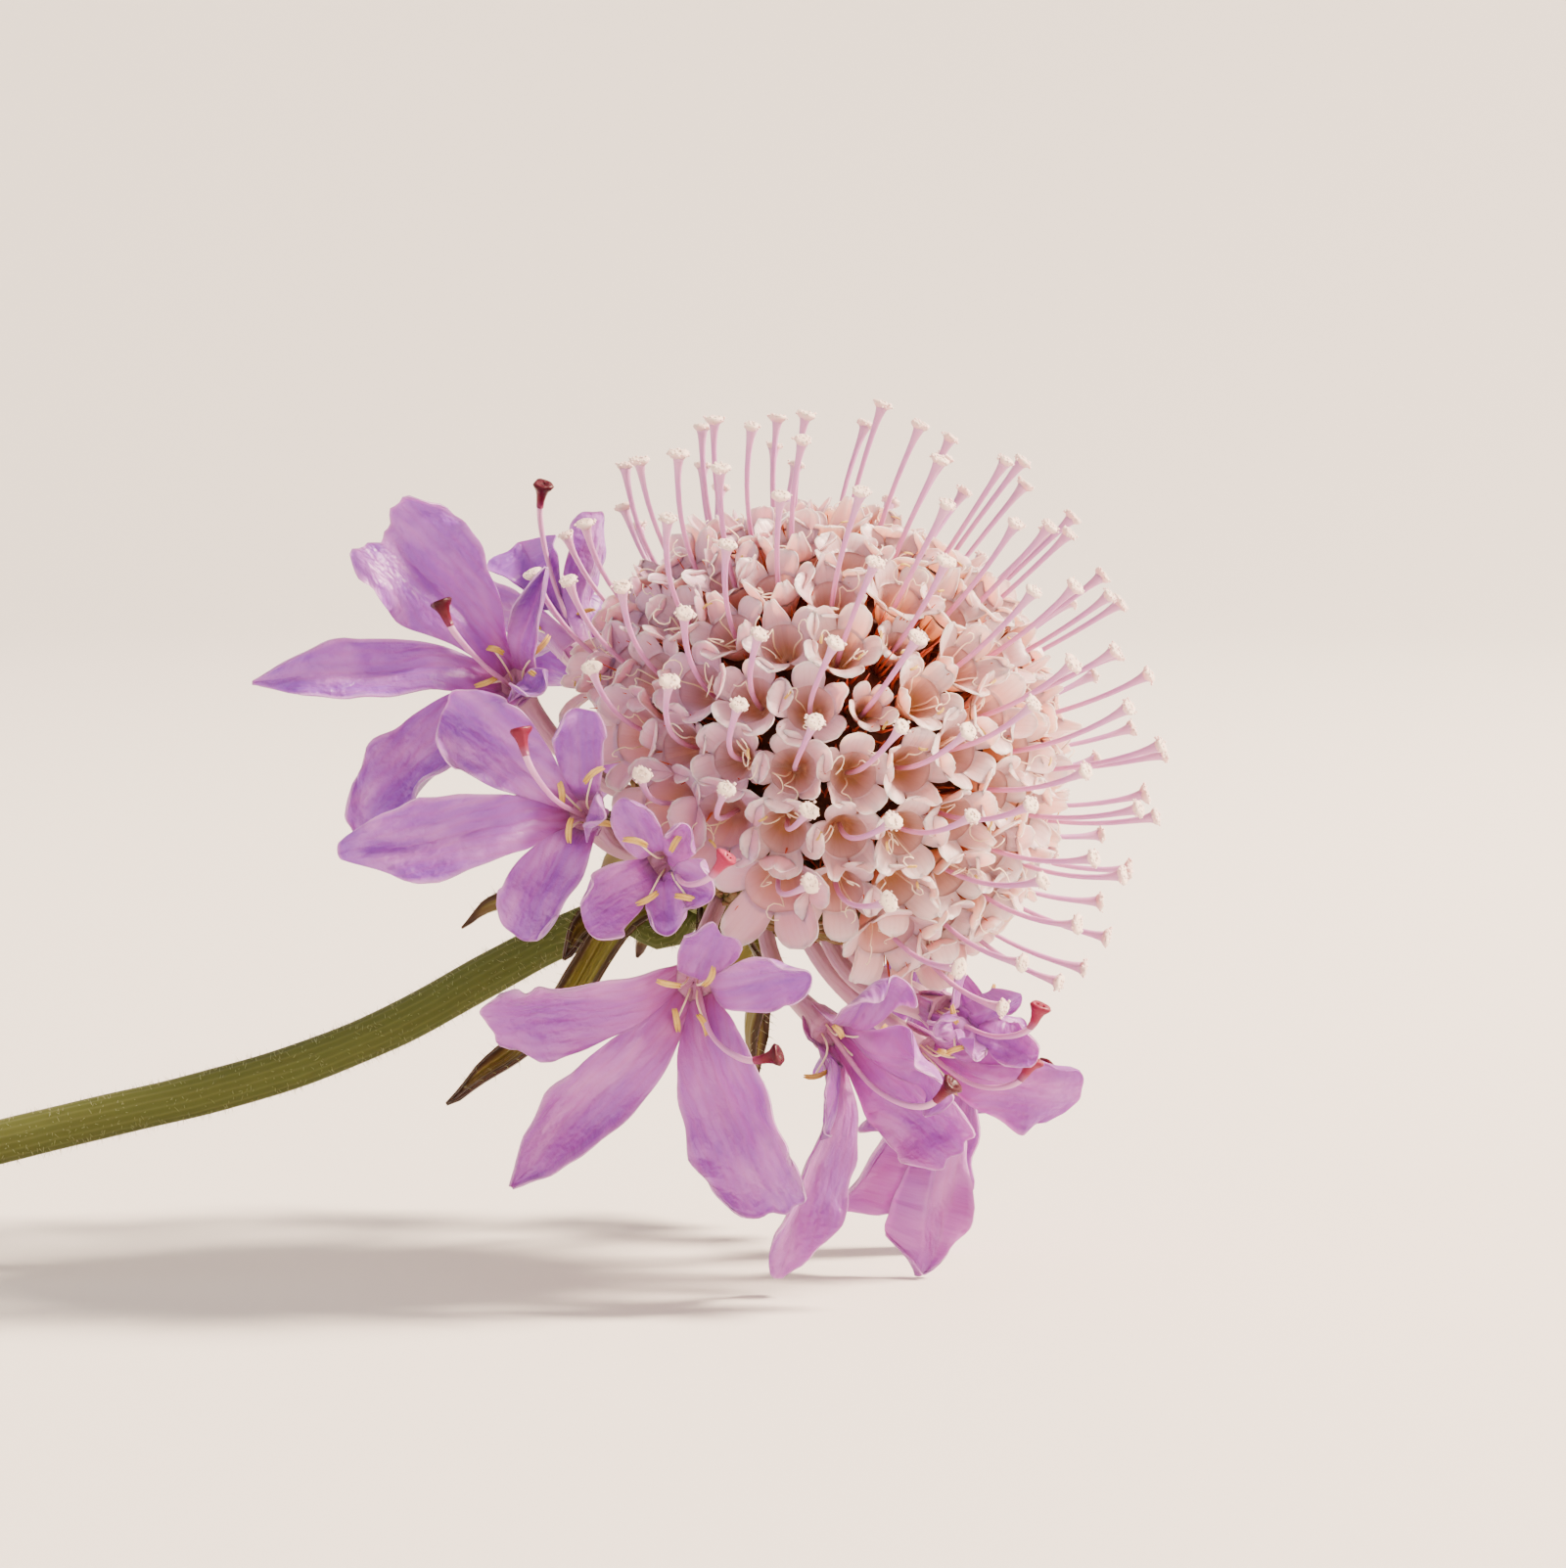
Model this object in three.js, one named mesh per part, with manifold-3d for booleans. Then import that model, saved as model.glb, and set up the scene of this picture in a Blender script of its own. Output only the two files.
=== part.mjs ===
// A cut scabiosa (pincushion flower) lying on a surface, in millimetres, +Z up.
// The stalk lies along -X and rises to the head, which leans on the tips of three
// hanging petals, its crown turned up to +X and a little to the front (-Y).
import * as THREE from 'three';
import { mergeVertices } from 'three/addons/utils/BufferGeometryUtils.js';
import Module from 'manifold-3d';

const wasm = await Module();
wasm.setup();

// Driving dimensions ---------------------------------------------------------

const HEAD_CENTRE = [1.5, 0, 26.25];
const HEAD_TIP = 40; // degrees that the crown leans from upright to +X
const HEAD_TURN = 18; // degrees that it then turns to the front
const DOME_RADIUS = 12.5; // from the head's centre to the faces of the disc florets
const CORE_RADIUS = 9.6;
const CORE_BASE = -7.9; // height of the core's underside in the head

const FLORET_COUNT = 64;
const LAST_FLORET = 103; // degrees from the crown to the outermost disc florets
const FLORET_REACH = 2.05; // from a floret's middle to its lobe tips
const EDGE_GROWTH = 0.4; // share by which the outermost disc florets are larger
const EDGE_START = 0.78; // share of the florets that lie inside the larger ones
const BLADE = 0.6; // thickness of petals and bracts
const STYLE_RADIUS = 0.24;
const STIGMA_RADIUS = 0.58;
const PIN_RISE = 4.5; // how far the styles stand out of the florets
const CROWN_PULL = 0.7; // how strongly the styles bend to the crown

const THROAT_RADIUS = 1.25; // of a ray floret's funnel
const STEM_RADIUS = 1.12;
const STEM_LIE = STEM_RADIUS + 0.04; // height of the lying stalk's middle line
const BRACT_WIDTH = 2.6;
const BRACT_ROOT = 1.9; // from the head's axis to the roots of the bracts
const SEAT_GAP = 0.3; // between neighbouring pieces

// Middle line of the stalk from the head to the cut end.
const STEM_LINE = [
  [-8, 3.9, 17.9], [-11.5, 4.2, 16.7], [-15, 4.1, 14.9], [-20, 3.5, 12.2], [-25, 2.7, 10.2],
  [-30, 1.9, 8.8], [-35, 1.1, 7.7], [-41, 0.3, 6.3], [-50, -0.4, 3.9], [-60, -0.9, 1.75],
  [-68, -1.3, STEM_LIE], [-77, -1.9, STEM_LIE], [-86, -2.8, STEM_LIE],
];

// Bracts under the head, each a clock angle, a lean and a reach, as for the ray florets.
const BRACTS = [
  [219, 14, 16.5], [189, -24, 13.2], [163, 4, 13.6], [207, 28, 9.8], [246, 20, 12.6],
  [275, -6, 12], [262, -42, 12.8], [228, -56, 12.4], [186, -58, 12],
];

// Ray florets. turn, out and up place the throat in the head: degrees round it from its
// lowest side, distance from its axis, and height. Directions are a clock angle, in
// degrees up from +X as seen from the front, and a lean to the front. face is where the
// open throat looks. A lobe is its clock, lean, reach and width. A style has no width.
// Two inner florets stand between the ring and the dome, and root higher.
const OUTER_RING = 15;
const OUTER_ROOT = { out: 5.9, up: -7.02 };
const INNER_ROOT = { out: 7.2, up: -5.95 };
const RAY_FLORETS = [
  {
    turn: -161.5, out: OUTER_RING, up: -5.2, face: [100, 62],
    lobes: [[131, 8, 10.4, 5.8], [181, 10, 13.4, 3.5], [222, 14, 11.6, 4.8],
      [73, 18, 6.4, 2.5], [-28, 58, 3.6, 2.6]],
    style: [131, 40, 6.9],
  },
  {
    turn: -119.5, out: OUTER_RING, up: -5, face: [120, 74],
    lobes: [[142, 4, 8.8, 4.8], [191, 10, 12.3, 4.5], [242, 8, 7.1, 4.6],
      [93, 4, 5.3, 3], [-8, 60, 2.8, 2.4]],
    style: [124, 40, 6.8],
  },
  {
    turn: -100.5, out: 15.1, up: -3.6, face: [210, 80], inner: true,
    lobes: [[212, 8, 4.9, 3.8], [272, 20, 3.6, 2.8], [121, 14, 4.2, 2.7],
      [58, 34, 3.1, 2.4], [-22, 30, 3.4, 2.8]],
    style: [14, 56, 5.6],
  },
  {
    turn: -81.5, out: OUTER_RING, up: -7.8, face: [250, 70],
    lobes: [[189, 2, 10.3, 4.4], [226, 0, 13.2, 4.6], [-69, 4, 12, 5.6],
      [62, 30, 3.6, 3], [1, 24, 6, 3]],
    style: [-33, 40, 6.6],
  },
  {
    turn: -51.5, out: OUTER_RING, up: -6.2, face: [-50, 52],
    lobes: [[258, -4, 13.4, 4], [-38, 12, 8.8, 4.8], [-92, 38, 5.6, 3],
      [22, 12, 4.6, 2.8], [-14, 26, 7.4, 3]],
    style: [-16, 44, 8.2],
  },
  {
    turn: -17, out: OUTER_RING, up: -6.7, face: [-40, 36],
    lobes: [[-95, 2, 11.4, 4.6], [237, -10, 9.4, 3.2], [-11, 2, 8, 5],
      [18, 8, 5.4, 2.8], [46, -10, 4.4, 2.6]],
    style: [2, 24, 5.6],
  },
  {
    turn: 10, out: OUTER_RING, up: -7, face: [-40, -24],
    lobes: [[-99, -10, 13.3, 4.4], [-40, -34, 8, 4.2], [228, -24, 8.6, 3.8],
      [6, -14, 3.8, 2.6], [-20, -50, 4.2, 2.6]],
    style: [-30, -30, 6.4],
  },
  { turn: 46, out: OUTER_RING, up: -6.6 },
  { turn: 81, out: OUTER_RING, up: -6.1 },
  { turn: 115.5, out: OUTER_RING, up: -6.8 },
  {
    turn: 149.5, out: OUTER_RING, up: -6.5, face: [120, -40],
    lobes: [[118, -30, 7.2, 4.8], [166, -20, 9.2, 4.6], [206, -50, 9, 4.4],
      [77, -10, 7.2, 3.2], [40, -50, 3.8, 2.6]],
    style: [102, -8, 8.6],
  },
  {
    turn: -24, out: 14.9, up: -3.6, face: [-20, 40], inner: true,
    lobes: [[-22, 14, 5, 3], [22, 4, 3.8, 2.8], [-66, 44, 3, 2.6],
      [78, -26, 2.5, 2.4], [190, 62, 2.6, 2.4]],
    style: [12, 36, 5.4],
  },
];

// Three lobes hang down to the surface, and their tips are cut flat there.
const STANDING_FLORETS = [4, 5, 6];

// The fan of a ray floret's lobes: degrees round its face from the side away from the
// crown, degrees raised from the face, reach and width.
const RAY_FAN = [
  [0, -8, 12.4, 4.8], [-46, -16, 10.2, 4.6], [44, 10, 10.4, 4.6],
  [-124, 14, 4.4, 2.8], [122, 10, 4.6, 2.8],
];

// Numbers and directions -----------------------------------------------------

const DEGREE = Math.PI / 180;
const GOLDEN_ANGLE = 137.507764 * DEGREE;
const UP = new THREE.Vector3(0, 0, 1);
const NEAR = new THREE.Vector3(0, -1, 0); // the flower's front

/** A fixed draw from 0 to 1 for piece number i, and one of its several draws. */
function draw(i, which) {
  const value = Math.sin(i * 12.9898 + which * 78.233) * 43758.5453;
  return value - Math.floor(value);
}

/** The same draw from -1 to 1. */
function swing(i, which) {
  return 2 * draw(i, which) - 1;
}

function vector(numbers) {
  return new THREE.Vector3(...numbers);
}

/** start + way1 * length1 + way2 * length2 ... */
function along(start, ...steps) {
  const point = start.clone();
  for (let i = 0; i < steps.length; i += 2) point.addScaledVector(steps[i], steps[i + 1]);
  return point;
}

/** The direction at a clock angle seen from the front and a lean to the front. */
function direction([clock, lean]) {
  const flat = Math.cos(lean * DEGREE);
  return new THREE.Vector3(
    flat * Math.cos(clock * DEGREE), -Math.sin(lean * DEGREE), flat * Math.sin(clock * DEGREE),
  );
}

/** The part of way that lies square to axis, at unit length. */
function square_to(way, axis) {
  return way.clone().addScaledVector(axis, -way.dot(axis)).normalize();
}

function turned(way, axis, degrees) {
  return way.clone().applyAxisAngle(axis, degrees * DEGREE);
}

const head_turn = new THREE.Euler(HEAD_TURN * DEGREE, HEAD_TIP * DEGREE, 0, 'YXZ');
const head_matrix = new THREE.Matrix4().makeRotationFromEuler(head_turn)
  .setPosition(vector(HEAD_CENTRE));
const head_inverse = head_matrix.clone().invert();

/** A direction of the lying flower, in the head's own frame. */
function in_head(way) {
  return way.clone().transformDirection(head_inverse);
}

// Closed meshes --------------------------------------------------------------

function mesh_geometry(points, triangles) {
  const geometry = new THREE.BufferGeometry();
  geometry.setAttribute('position', new THREE.Float32BufferAttribute(
    points.flatMap((point) => point.toArray()), 3));
  geometry.setIndex(triangles.flat());
  return geometry;
}

/** Skins rings of points, which run counterclockwise seen from the last ring, with a fan
 *  over each end. A ring may have a whole number of times the points of its neighbour. */
function skin(rings, start, end) {
  const points = [start, ...rings.flat(), end];
  const triangles = [];
  let first = 1;
  rings.forEach((ring, r) => {
    const count = ring.length;
    const next = rings[r + 1];
    for (let i = 0; i < count; i += 1) {
      const a = first + i;
      const b = first + ((i + 1) % count);
      if (r === 0) triangles.push([0, b, a]);
      if (!next) triangles.push([a, b, points.length - 1]);
    }
    if (next) triangles.push(...band(first, count, first + count, next.length));
    first += count;
  });
  return mesh_geometry(points, triangles);
}

/** The triangles between a ring of low_count points and the next, of high_count. */
function band(low, low_count, high, high_count) {
  const most = Math.max(low_count, high_count);
  const on_low = (i) => low + Math.floor((i * low_count) / most) % low_count;
  const on_high = (i) => high + Math.floor((i * high_count) / most) % high_count;
  const triangles = [];
  for (let i = 0; i < most; i += 1) {
    const [a, b, c, d] = [on_low(i), on_low(i + 1), on_high(i), on_high(i + 1)];
    if (a !== b) triangles.push([a, b, d]);
    if (c !== d) triangles.push([a, d, c]);
  }
  return triangles;
}

/** A round limb along a flat curve. profile lists share of the length and radius. */
function limb(curve, profile, sides) {
  const [start, middle, end] = [0, 0.5, 1].map((share) => curve.getPointAt(share));
  const sideways = middle.sub(start).cross(end.sub(start)).normalize();
  const rings = profile.map(([share, radius]) => {
    const other = curve.getTangentAt(share).cross(sideways);
    return ring_of(curve.getPointAt(share), sideways, other, radius, sides);
  });
  return skin(rings, curve.getPointAt(0), curve.getPointAt(1));
}

/** A ring of points, counterclockwise from side towards other. */
function ring_of(middle, side, other, radius, count) {
  return Array.from({ length: count }, (_, i) => {
    const angle = (2 * Math.PI * i) / count;
    return along(middle, side, radius * Math.cos(angle), other, radius * Math.sin(angle));
  });
}

/** A thin blade along a curve. outline lists share of the length and of the half width;
 *  cup raises the edges and wave lifts them by turns. Both faces split alike. */
function blade(curve, face, width, outline, { cup = 0.12, wave = 0, seed = 0 } = {}) {
  const upper = [];
  const lower = [];
  outline.forEach(([share, wide], row) => {
    const middle = curve.getPointAt(share);
    const tangent = curve.getTangentAt(share);
    const normal = square_to(face, tangent);
    const across = tangent.clone().cross(normal);
    const half = (width / 2) * wide;
    for (const side of [-1, 0, 1]) {
      const lift = Math.abs(side) * cup * half + wave * half * side * swing(seed, row);
      const centre = along(middle, across, side * half, normal, lift);
      upper.push(along(centre, normal, BLADE / 2));
      lower.push(along(centre, normal, -BLADE / 2));
    }
  });
  const rows = outline.length;
  const below = upper.length;
  const triangles = [];
  const add = (a, b, c) => {
    triangles.push([a, b, c], [below + a, below + c, below + b]);
  };
  const wall = (a, b) => triangles.push([b, a, below + a], [b, below + a, below + b]);
  for (let row = 0; row < rows - 1; row += 1) {
    const [a, b] = [3 * row, 3 * row + 3];
    add(a, a + 1, b + 1);
    add(a, b + 1, b);
    add(a + 1, a + 2, b + 1);
    add(a + 2, b + 2, b + 1);
    wall(b, a);
    wall(a + 2, b + 2);
  }
  wall(0, 1);
  wall(1, 2);
  const last = 3 * rows - 3;
  wall(last + 1, last);
  wall(last + 2, last + 1);
  return mesh_geometry([...upper, ...lower], triangles);
}

// Joining --------------------------------------------------------------------

function solid(geometry) {
  const bare = geometry.clone();
  bare.deleteAttribute('normal');
  bare.deleteAttribute('uv');
  const merged = mergeVertices(bare);
  const mesh = new wasm.Mesh({
    numProp: 3,
    vertProperties: new Float32Array(merged.attributes.position.array),
    triVerts: new Uint32Array(merged.index.array),
  });
  const made = new wasm.Manifold(mesh);
  if (made.volume() <= 0) throw new Error('a piece is inside out');
  return made;
}

/** Joins solids two by two, so that each join stays small. */
function fuse(solids) {
  let left = [...solids];
  while (left.length > 1) {
    const pairs = [];
    for (let i = 0; i < left.length; i += 2) {
      pairs.push(i + 1 < left.length ? left[i].add(left[i + 1]) : left[i]);
    }
    left = pairs;
  }
  return left[0];
}

/** The geometry of a solid's largest body: shut-in hollows and loose scraps are left out. */
function main_body(joined) {
  const mesh = joined.getMesh();
  const corners = mesh.triVerts;
  const group = Array.from({ length: mesh.vertProperties.length / 3 }, (_, i) => i);
  const root = (i) => {
    let at = i;
    while (group[at] !== at) {
      group[at] = group[group[at]];
      at = group[at];
    }
    return at;
  };
  for (let i = 0; i < corners.length; i += 3) {
    group[root(corners[i + 1])] = root(corners[i]);
    group[root(corners[i + 2])] = root(corners[i]);
  }
  const sizes = new Map();
  for (const corner of corners) sizes.set(root(corner), (sizes.get(root(corner)) ?? 0) + 1);
  const largest = [...sizes].sort((a, b) => b[1] - a[1])[0][0];
  const geometry = new THREE.BufferGeometry();
  geometry.setAttribute('position', new THREE.BufferAttribute(mesh.vertProperties, 3));
  geometry.setIndex([...corners].filter((corner) => root(corner) === largest));
  return geometry.toNonIndexed();
}

// Disc florets ---------------------------------------------------------------

const LOBES = 5;
const SHOULDER = 20; // degrees from a small lobe's middle line to its corners
const LOBE_LIFT = 0.1; // of the lobes' corners over the rim
const NOTCH = { depth: 0.6, share: 0.62 }; // between lobes, and its share of the reach
const FOOT = { height: -3.6, radius: 0.75 }; // where the funnel leaves the core
const THROAT = { height: -1.5, radius: 0.72, floor: -2 };

/** A five-lobed funnel on the head: ray is its way out, spin its turn about that. */
function disc_floret(ray, side, spin, reach) {
  const other = ray.clone().cross(side);
  const at = (height, radius, degrees) => along(
    new THREE.Vector3(), ray, DOME_RADIUS + height,
    side, radius * Math.cos(degrees * DEGREE), other, radius * Math.sin(degrees * DEGREE));
  const rim = (height, shrink) => Array.from({ length: LOBES }, (_, k) => {
    const middle = spin + (360 / LOBES) * k;
    return [
      at(height + LOBE_LIFT, reach * shrink, middle - SHOULDER),
      at(height + LOBE_LIFT, reach * shrink, middle + SHOULDER),
      at(height - NOTCH.depth, reach * NOTCH.share * shrink, middle + 180 / LOBES),
    ];
  }).flat();
  const ring = ({ height, radius }) => Array.from({ length: LOBES },
    (_, k) => at(height, radius, spin + (360 / LOBES) * k - SHOULDER));
  return skin(
    [ring(FOOT), rim(-BLADE, 0.9), rim(0, 1), ring(THROAT)],
    at(FOOT.height - 0.1, 0, 0), at(THROAT.floor, 0, 0));
}

// Share of the length and radius, for the styles and for the tubes of the ray florets.
const STYLE_PROFILE = [
  [0, STYLE_RADIUS], [0.5, STYLE_RADIUS], [0.88, 1.1 * STYLE_RADIUS], [1, STIGMA_RADIUS],
];
const TUBE_PROFILE = [[0, 0.45], [0.4, 0.6], [0.8, 0.85], [1, THROAT_RADIUS]];

const PIN_ROOT = 2.6; // depth of a style's root under the florets' faces
const PIN_KNEE = 1.6; // height over the faces where it bends
const PIN_FOLD = 0.5; // how far a style on the near side gives up its own way out
const PIN_LIFT = 0.6; // how strongly it rises to the light instead
const PIN_SHADE = 0.35; // how far below the head's middle the styles still rise

/** A style that bends to the crown and the light, and ends in a wide stigma. */
function pin(ray, i) {
  const near = Math.max(0, ray.dot(in_head(NEAR)));
  const lift = PIN_LIFT * near * Math.max(0, ray.dot(in_head(UP)) + PIN_SHADE);
  const lean = ray.clone().multiplyScalar(1 - PIN_FOLD * near)
    .addScaledVector(UP, CROWN_PULL * (1 + 0.25 * swing(i, 3)))
    .addScaledVector(in_head(UP), lift).normalize();
  const rise = PIN_RISE * (1 + 0.13 * swing(i, 4));
  const base = ray.clone().multiplyScalar(DOME_RADIUS - PIN_ROOT);
  const knee = ray.clone().multiplyScalar(DOME_RADIUS + PIN_KNEE);
  const tip = along(knee, lean, rise - 0.6);
  const bend = new THREE.QuadraticBezierCurve3(base, knee, tip);
  return limb(bend, STYLE_PROFILE, 3);
}

const CORE_FOOT = 4.4; // radius of the core's underside
const CORE_EDGE = 110; // degrees from the crown where the core's ball ends
const CORE_STEP = 26;

/** The closed dome that the florets grow from. */
function head_core() {
  const profile = [new THREE.Vector2(0, CORE_BASE), new THREE.Vector2(CORE_FOOT, CORE_BASE)];
  for (let angle = CORE_EDGE; angle > CORE_STEP / 2; angle -= CORE_STEP) {
    const [across, high] = [Math.sin(angle * DEGREE), Math.cos(angle * DEGREE)];
    profile.push(new THREE.Vector2(CORE_RADIUS * across, CORE_RADIUS * high));
  }
  profile.push(new THREE.Vector2(0, CORE_RADIUS));
  const core = new THREE.LatheGeometry(profile, 10);
  return core.rotateX(Math.PI / 2);
}

/** The way out of floret i, by the golden angle from the crown outwards. */
function floret_ray(i) {
  const share = (i + 0.5) / FLORET_COUNT;
  const high = 1 - share * (1 - Math.cos(LAST_FLORET * DEGREE));
  const across = Math.sqrt(1 - high * high);
  const turn = i * GOLDEN_ANGLE;
  return new THREE.Vector3(across * Math.cos(turn), across * Math.sin(turn), high);
}

function disc_head() {
  const solids = [solid(head_core())];
  for (let i = 0; i < FLORET_COUNT; i += 1) {
    const ray = floret_ray(i);
    const side = square_to(UP, ray).cross(ray);
    const spin = 360 * draw(i, 1);
    const edge = THREE.MathUtils.smoothstep(i / FLORET_COUNT, EDGE_START, 1);
    const reach = FLORET_REACH * (1 + EDGE_GROWTH * edge + 0.05 * swing(i, 2));
    const floret = solid(disc_floret(ray, side, spin, reach));
    solids.push(floret.add(solid(pin(ray, i))));
  }
  return main_body(fuse(solids));
}

// Ray florets ----------------------------------------------------------------

// Outlines list share of the length and of the half width.
const LOBE_OUTLINE = [[0, 0.36], [0.3, 0.68], [0.62, 1], [0.88, 0.8], [1, 0.26]];
const SMALL_OUTLINE = [[0, 0.5], [0.62, 1], [1, 0.4]];
const SMALL_LOBE = 7; // lobes with a shorter reach have the plainer outline
const LOBE_ARCH = 0.14; // share of a lobe's reach that its middle rises
const LOBE_SHAPE = { cup: 0.16, wave: 0.12 };
const RAY_TILT = 0.35; // how far the ruled florets look up along the head
const RULED_STYLE = { fan: [150, 50], reach: 7 };

/** A ray floret's directions in the head: where it opens, its lobes and its style. */
function ray_ways(floret) {
  if (floret.face) {
    return {
      face: in_head(direction(floret.face)),
      lobes: floret.lobes.map(([clock, lean, reach, width]) => ({
        way: in_head(direction([clock, lean])), reach, width,
      })),
      style: { way: in_head(direction(floret.style)), reach: floret.style[2] },
    };
  }
  const out = turned(new THREE.Vector3(1, 0, 0), UP, floret.turn);
  const face = along(out, UP, RAY_TILT).normalize();
  const back = square_to(UP, face).negate();
  const fan = ([round, raised]) => along(
    turned(back, face, round).multiplyScalar(Math.cos(raised * DEGREE)),
    face, Math.sin(raised * DEGREE));
  return {
    face,
    lobes: RAY_FAN.map(([round, raised, reach, width]) => ({
      way: fan([round, raised]), reach, width,
    })),
    style: { way: fan(RULED_STYLE.fan), reach: RULED_STYLE.reach },
  };
}

function ray_floret(floret, number) {
  const { face, lobes, style } = ray_ways(floret);
  const out = turned(new THREE.Vector3(1, 0, 0), UP, floret.turn);
  const throat = along(new THREE.Vector3(), out, floret.out, UP, floret.up);
  const { out: root_out, up: root_up } = floret.inner ? INNER_ROOT : OUTER_ROOT;
  const root = along(new THREE.Vector3(), out, root_out, UP, root_up);
  const tube_line = new THREE.CubicBezierCurve3(
    root, along(root, out, 3.4, UP, -1.2), along(throat, face, -3), along(throat, face, 0.2));
  const solids = [solid(limb(tube_line, TUBE_PROFILE, 6))];
  lobes.forEach(({ way, reach, width }, k) => {
    const curve = new THREE.QuadraticBezierCurve3(
      along(throat, face, -0.7, way, 0.2),
      along(throat, way, 0.42 * reach, face, LOBE_ARCH * reach),
      along(throat, way, reach));
    const outline = reach < SMALL_LOBE ? SMALL_OUTLINE : LOBE_OUTLINE;
    const shape = { ...LOBE_SHAPE, seed: 10 * number + k };
    solids.push(solid(blade(curve, face, width, outline, shape)));
  });
  const style_line = new THREE.QuadraticBezierCurve3(
    along(throat, face, -0.6),
    along(throat, style.way, 0.45 * style.reach, face, 0.1 * style.reach),
    along(throat, style.way, style.reach));
  solids.push(solid(limb(style_line, STYLE_PROFILE, 3)));
  return fuse(solids);
}

const SLAB = { side: 60, depth: 10 };

/** Cuts away what a solid of the head has below the surface that the flower lies on. */
function cut_at_surface(joined) {
  const slab = new THREE.BoxGeometry(SLAB.side, SLAB.side, SLAB.depth);
  slab.translate(HEAD_CENTRE[0], HEAD_CENTRE[1], -SLAB.depth / 2).applyMatrix4(head_inverse);
  return joined.subtract(solid(slab));
}

// Stalk and involucre --------------------------------------------------------

const NECK_TOP = CORE_BASE - SEAT_GAP;
const NECK_BOTTOM = NECK_TOP - 2;
const NECK = [[0, NECK_BOTTOM], [1.5, NECK_BOTTOM], [2.4, NECK_TOP - 1], [4.2, NECK_TOP],
  [0, NECK_TOP]];
const BRACT_OUTLINE = [[0, 0.5], [0.3, 1], [0.7, 0.7], [1, 0.14]];
const BRACT_CUP = 0.25;

function involucre() {
  const profile = NECK.map(([across, high]) => new THREE.Vector2(across, high));
  const cup = new THREE.LatheGeometry(profile, 9).rotateX(Math.PI / 2);
  const solids = [solid(cup)];
  for (const [clock, lean, reach] of BRACTS) {
    const way = in_head(direction([clock, lean]));
    const out = square_to(way, UP);
    const root = along(new THREE.Vector3(), out, BRACT_ROOT, UP, NECK_TOP - 0.75);
    const curve = new THREE.QuadraticBezierCurve3(
      root, along(root, out, 0.3 * reach, UP, -0.16 * reach),
      along(root, way, reach - BRACT_ROOT));
    const face = along(out, UP, 1).normalize();
    solids.push(solid(blade(curve, face, BRACT_WIDTH, BRACT_OUTLINE, { cup: BRACT_CUP })));
  }
  return main_body(fuse(solids));
}

function stem() {
  const way = UP.clone().transformDirection(head_matrix);
  const top = along(vector(HEAD_CENTRE), way, NECK_BOTTOM - SEAT_GAP);
  const line = new THREE.CatmullRomCurve3(
    [top, along(top, way, -2), ...STEM_LINE.map(vector)], false, 'centripetal');
  const section = new THREE.Shape().absarc(0, 0, STEM_RADIUS, 0, 2 * Math.PI);
  return new THREE.ExtrudeGeometry(
    section, { steps: 24, curveSegments: 5, extrudePath: line, bevelEnabled: false });
}

// The flower -----------------------------------------------------------------

function finish(color, roughness) {
  return new THREE.MeshStandardMaterial({ color, roughness, metalness: 0 });
}

function piece(name, geometry, material) {
  const mesh = new THREE.Mesh(geometry, material);
  mesh.name = name;
  return mesh;
}

const head = new THREE.Group();
head.position.copy(vector(HEAD_CENTRE));
head.rotation.copy(head_turn);
head.add(piece('disc_head', disc_head(), finish(0xe3bcc0, 0.7)));
head.add(piece('involucre', involucre(), finish(0x5d5a26, 0.75)));
RAY_FLORETS.forEach((floret, number) => {
  const whole = ray_floret(floret, number);
  const joined = STANDING_FLORETS.includes(number) ? cut_at_surface(whole) : whole;
  const name = `ray_floret_${String(number + 1).padStart(2, '0')}`;
  head.add(piece(name, main_body(joined), finish(0xb184c6, 0.6)));
});

const flower = new THREE.Group();
flower.add(head, piece('stem', stem(), finish(0x76803c, 0.7)));

// The origin is under the middle of the flower, on the surface.
flower.updateMatrixWorld(true);
const box = new THREE.Box3().setFromObject(flower, true);
const middle = box.getCenter(new THREE.Vector3());
flower.position.set(-middle.x, -middle.y, -box.min.z);

const model = new THREE.Group();
model.add(flower);
export default model;
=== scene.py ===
"""The finished look of a cut scabiosa (pincushion flower) that lies on a pale table."""
import math

import bpy
import numpy as np
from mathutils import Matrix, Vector


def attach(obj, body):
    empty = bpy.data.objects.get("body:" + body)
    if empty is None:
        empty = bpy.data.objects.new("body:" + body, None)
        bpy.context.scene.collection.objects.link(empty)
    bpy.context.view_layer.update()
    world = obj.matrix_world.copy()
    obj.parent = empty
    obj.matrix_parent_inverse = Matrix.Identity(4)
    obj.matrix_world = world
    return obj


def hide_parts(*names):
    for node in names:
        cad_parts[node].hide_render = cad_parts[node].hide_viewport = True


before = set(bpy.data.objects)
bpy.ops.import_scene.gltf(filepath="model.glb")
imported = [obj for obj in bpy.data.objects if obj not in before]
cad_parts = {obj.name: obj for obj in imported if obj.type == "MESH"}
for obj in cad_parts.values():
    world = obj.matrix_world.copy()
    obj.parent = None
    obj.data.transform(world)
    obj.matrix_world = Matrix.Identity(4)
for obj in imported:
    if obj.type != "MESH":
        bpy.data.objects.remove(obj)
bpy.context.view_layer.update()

# Sizes, places and counts. Lengths are in millimetres -------------------------------------

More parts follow.
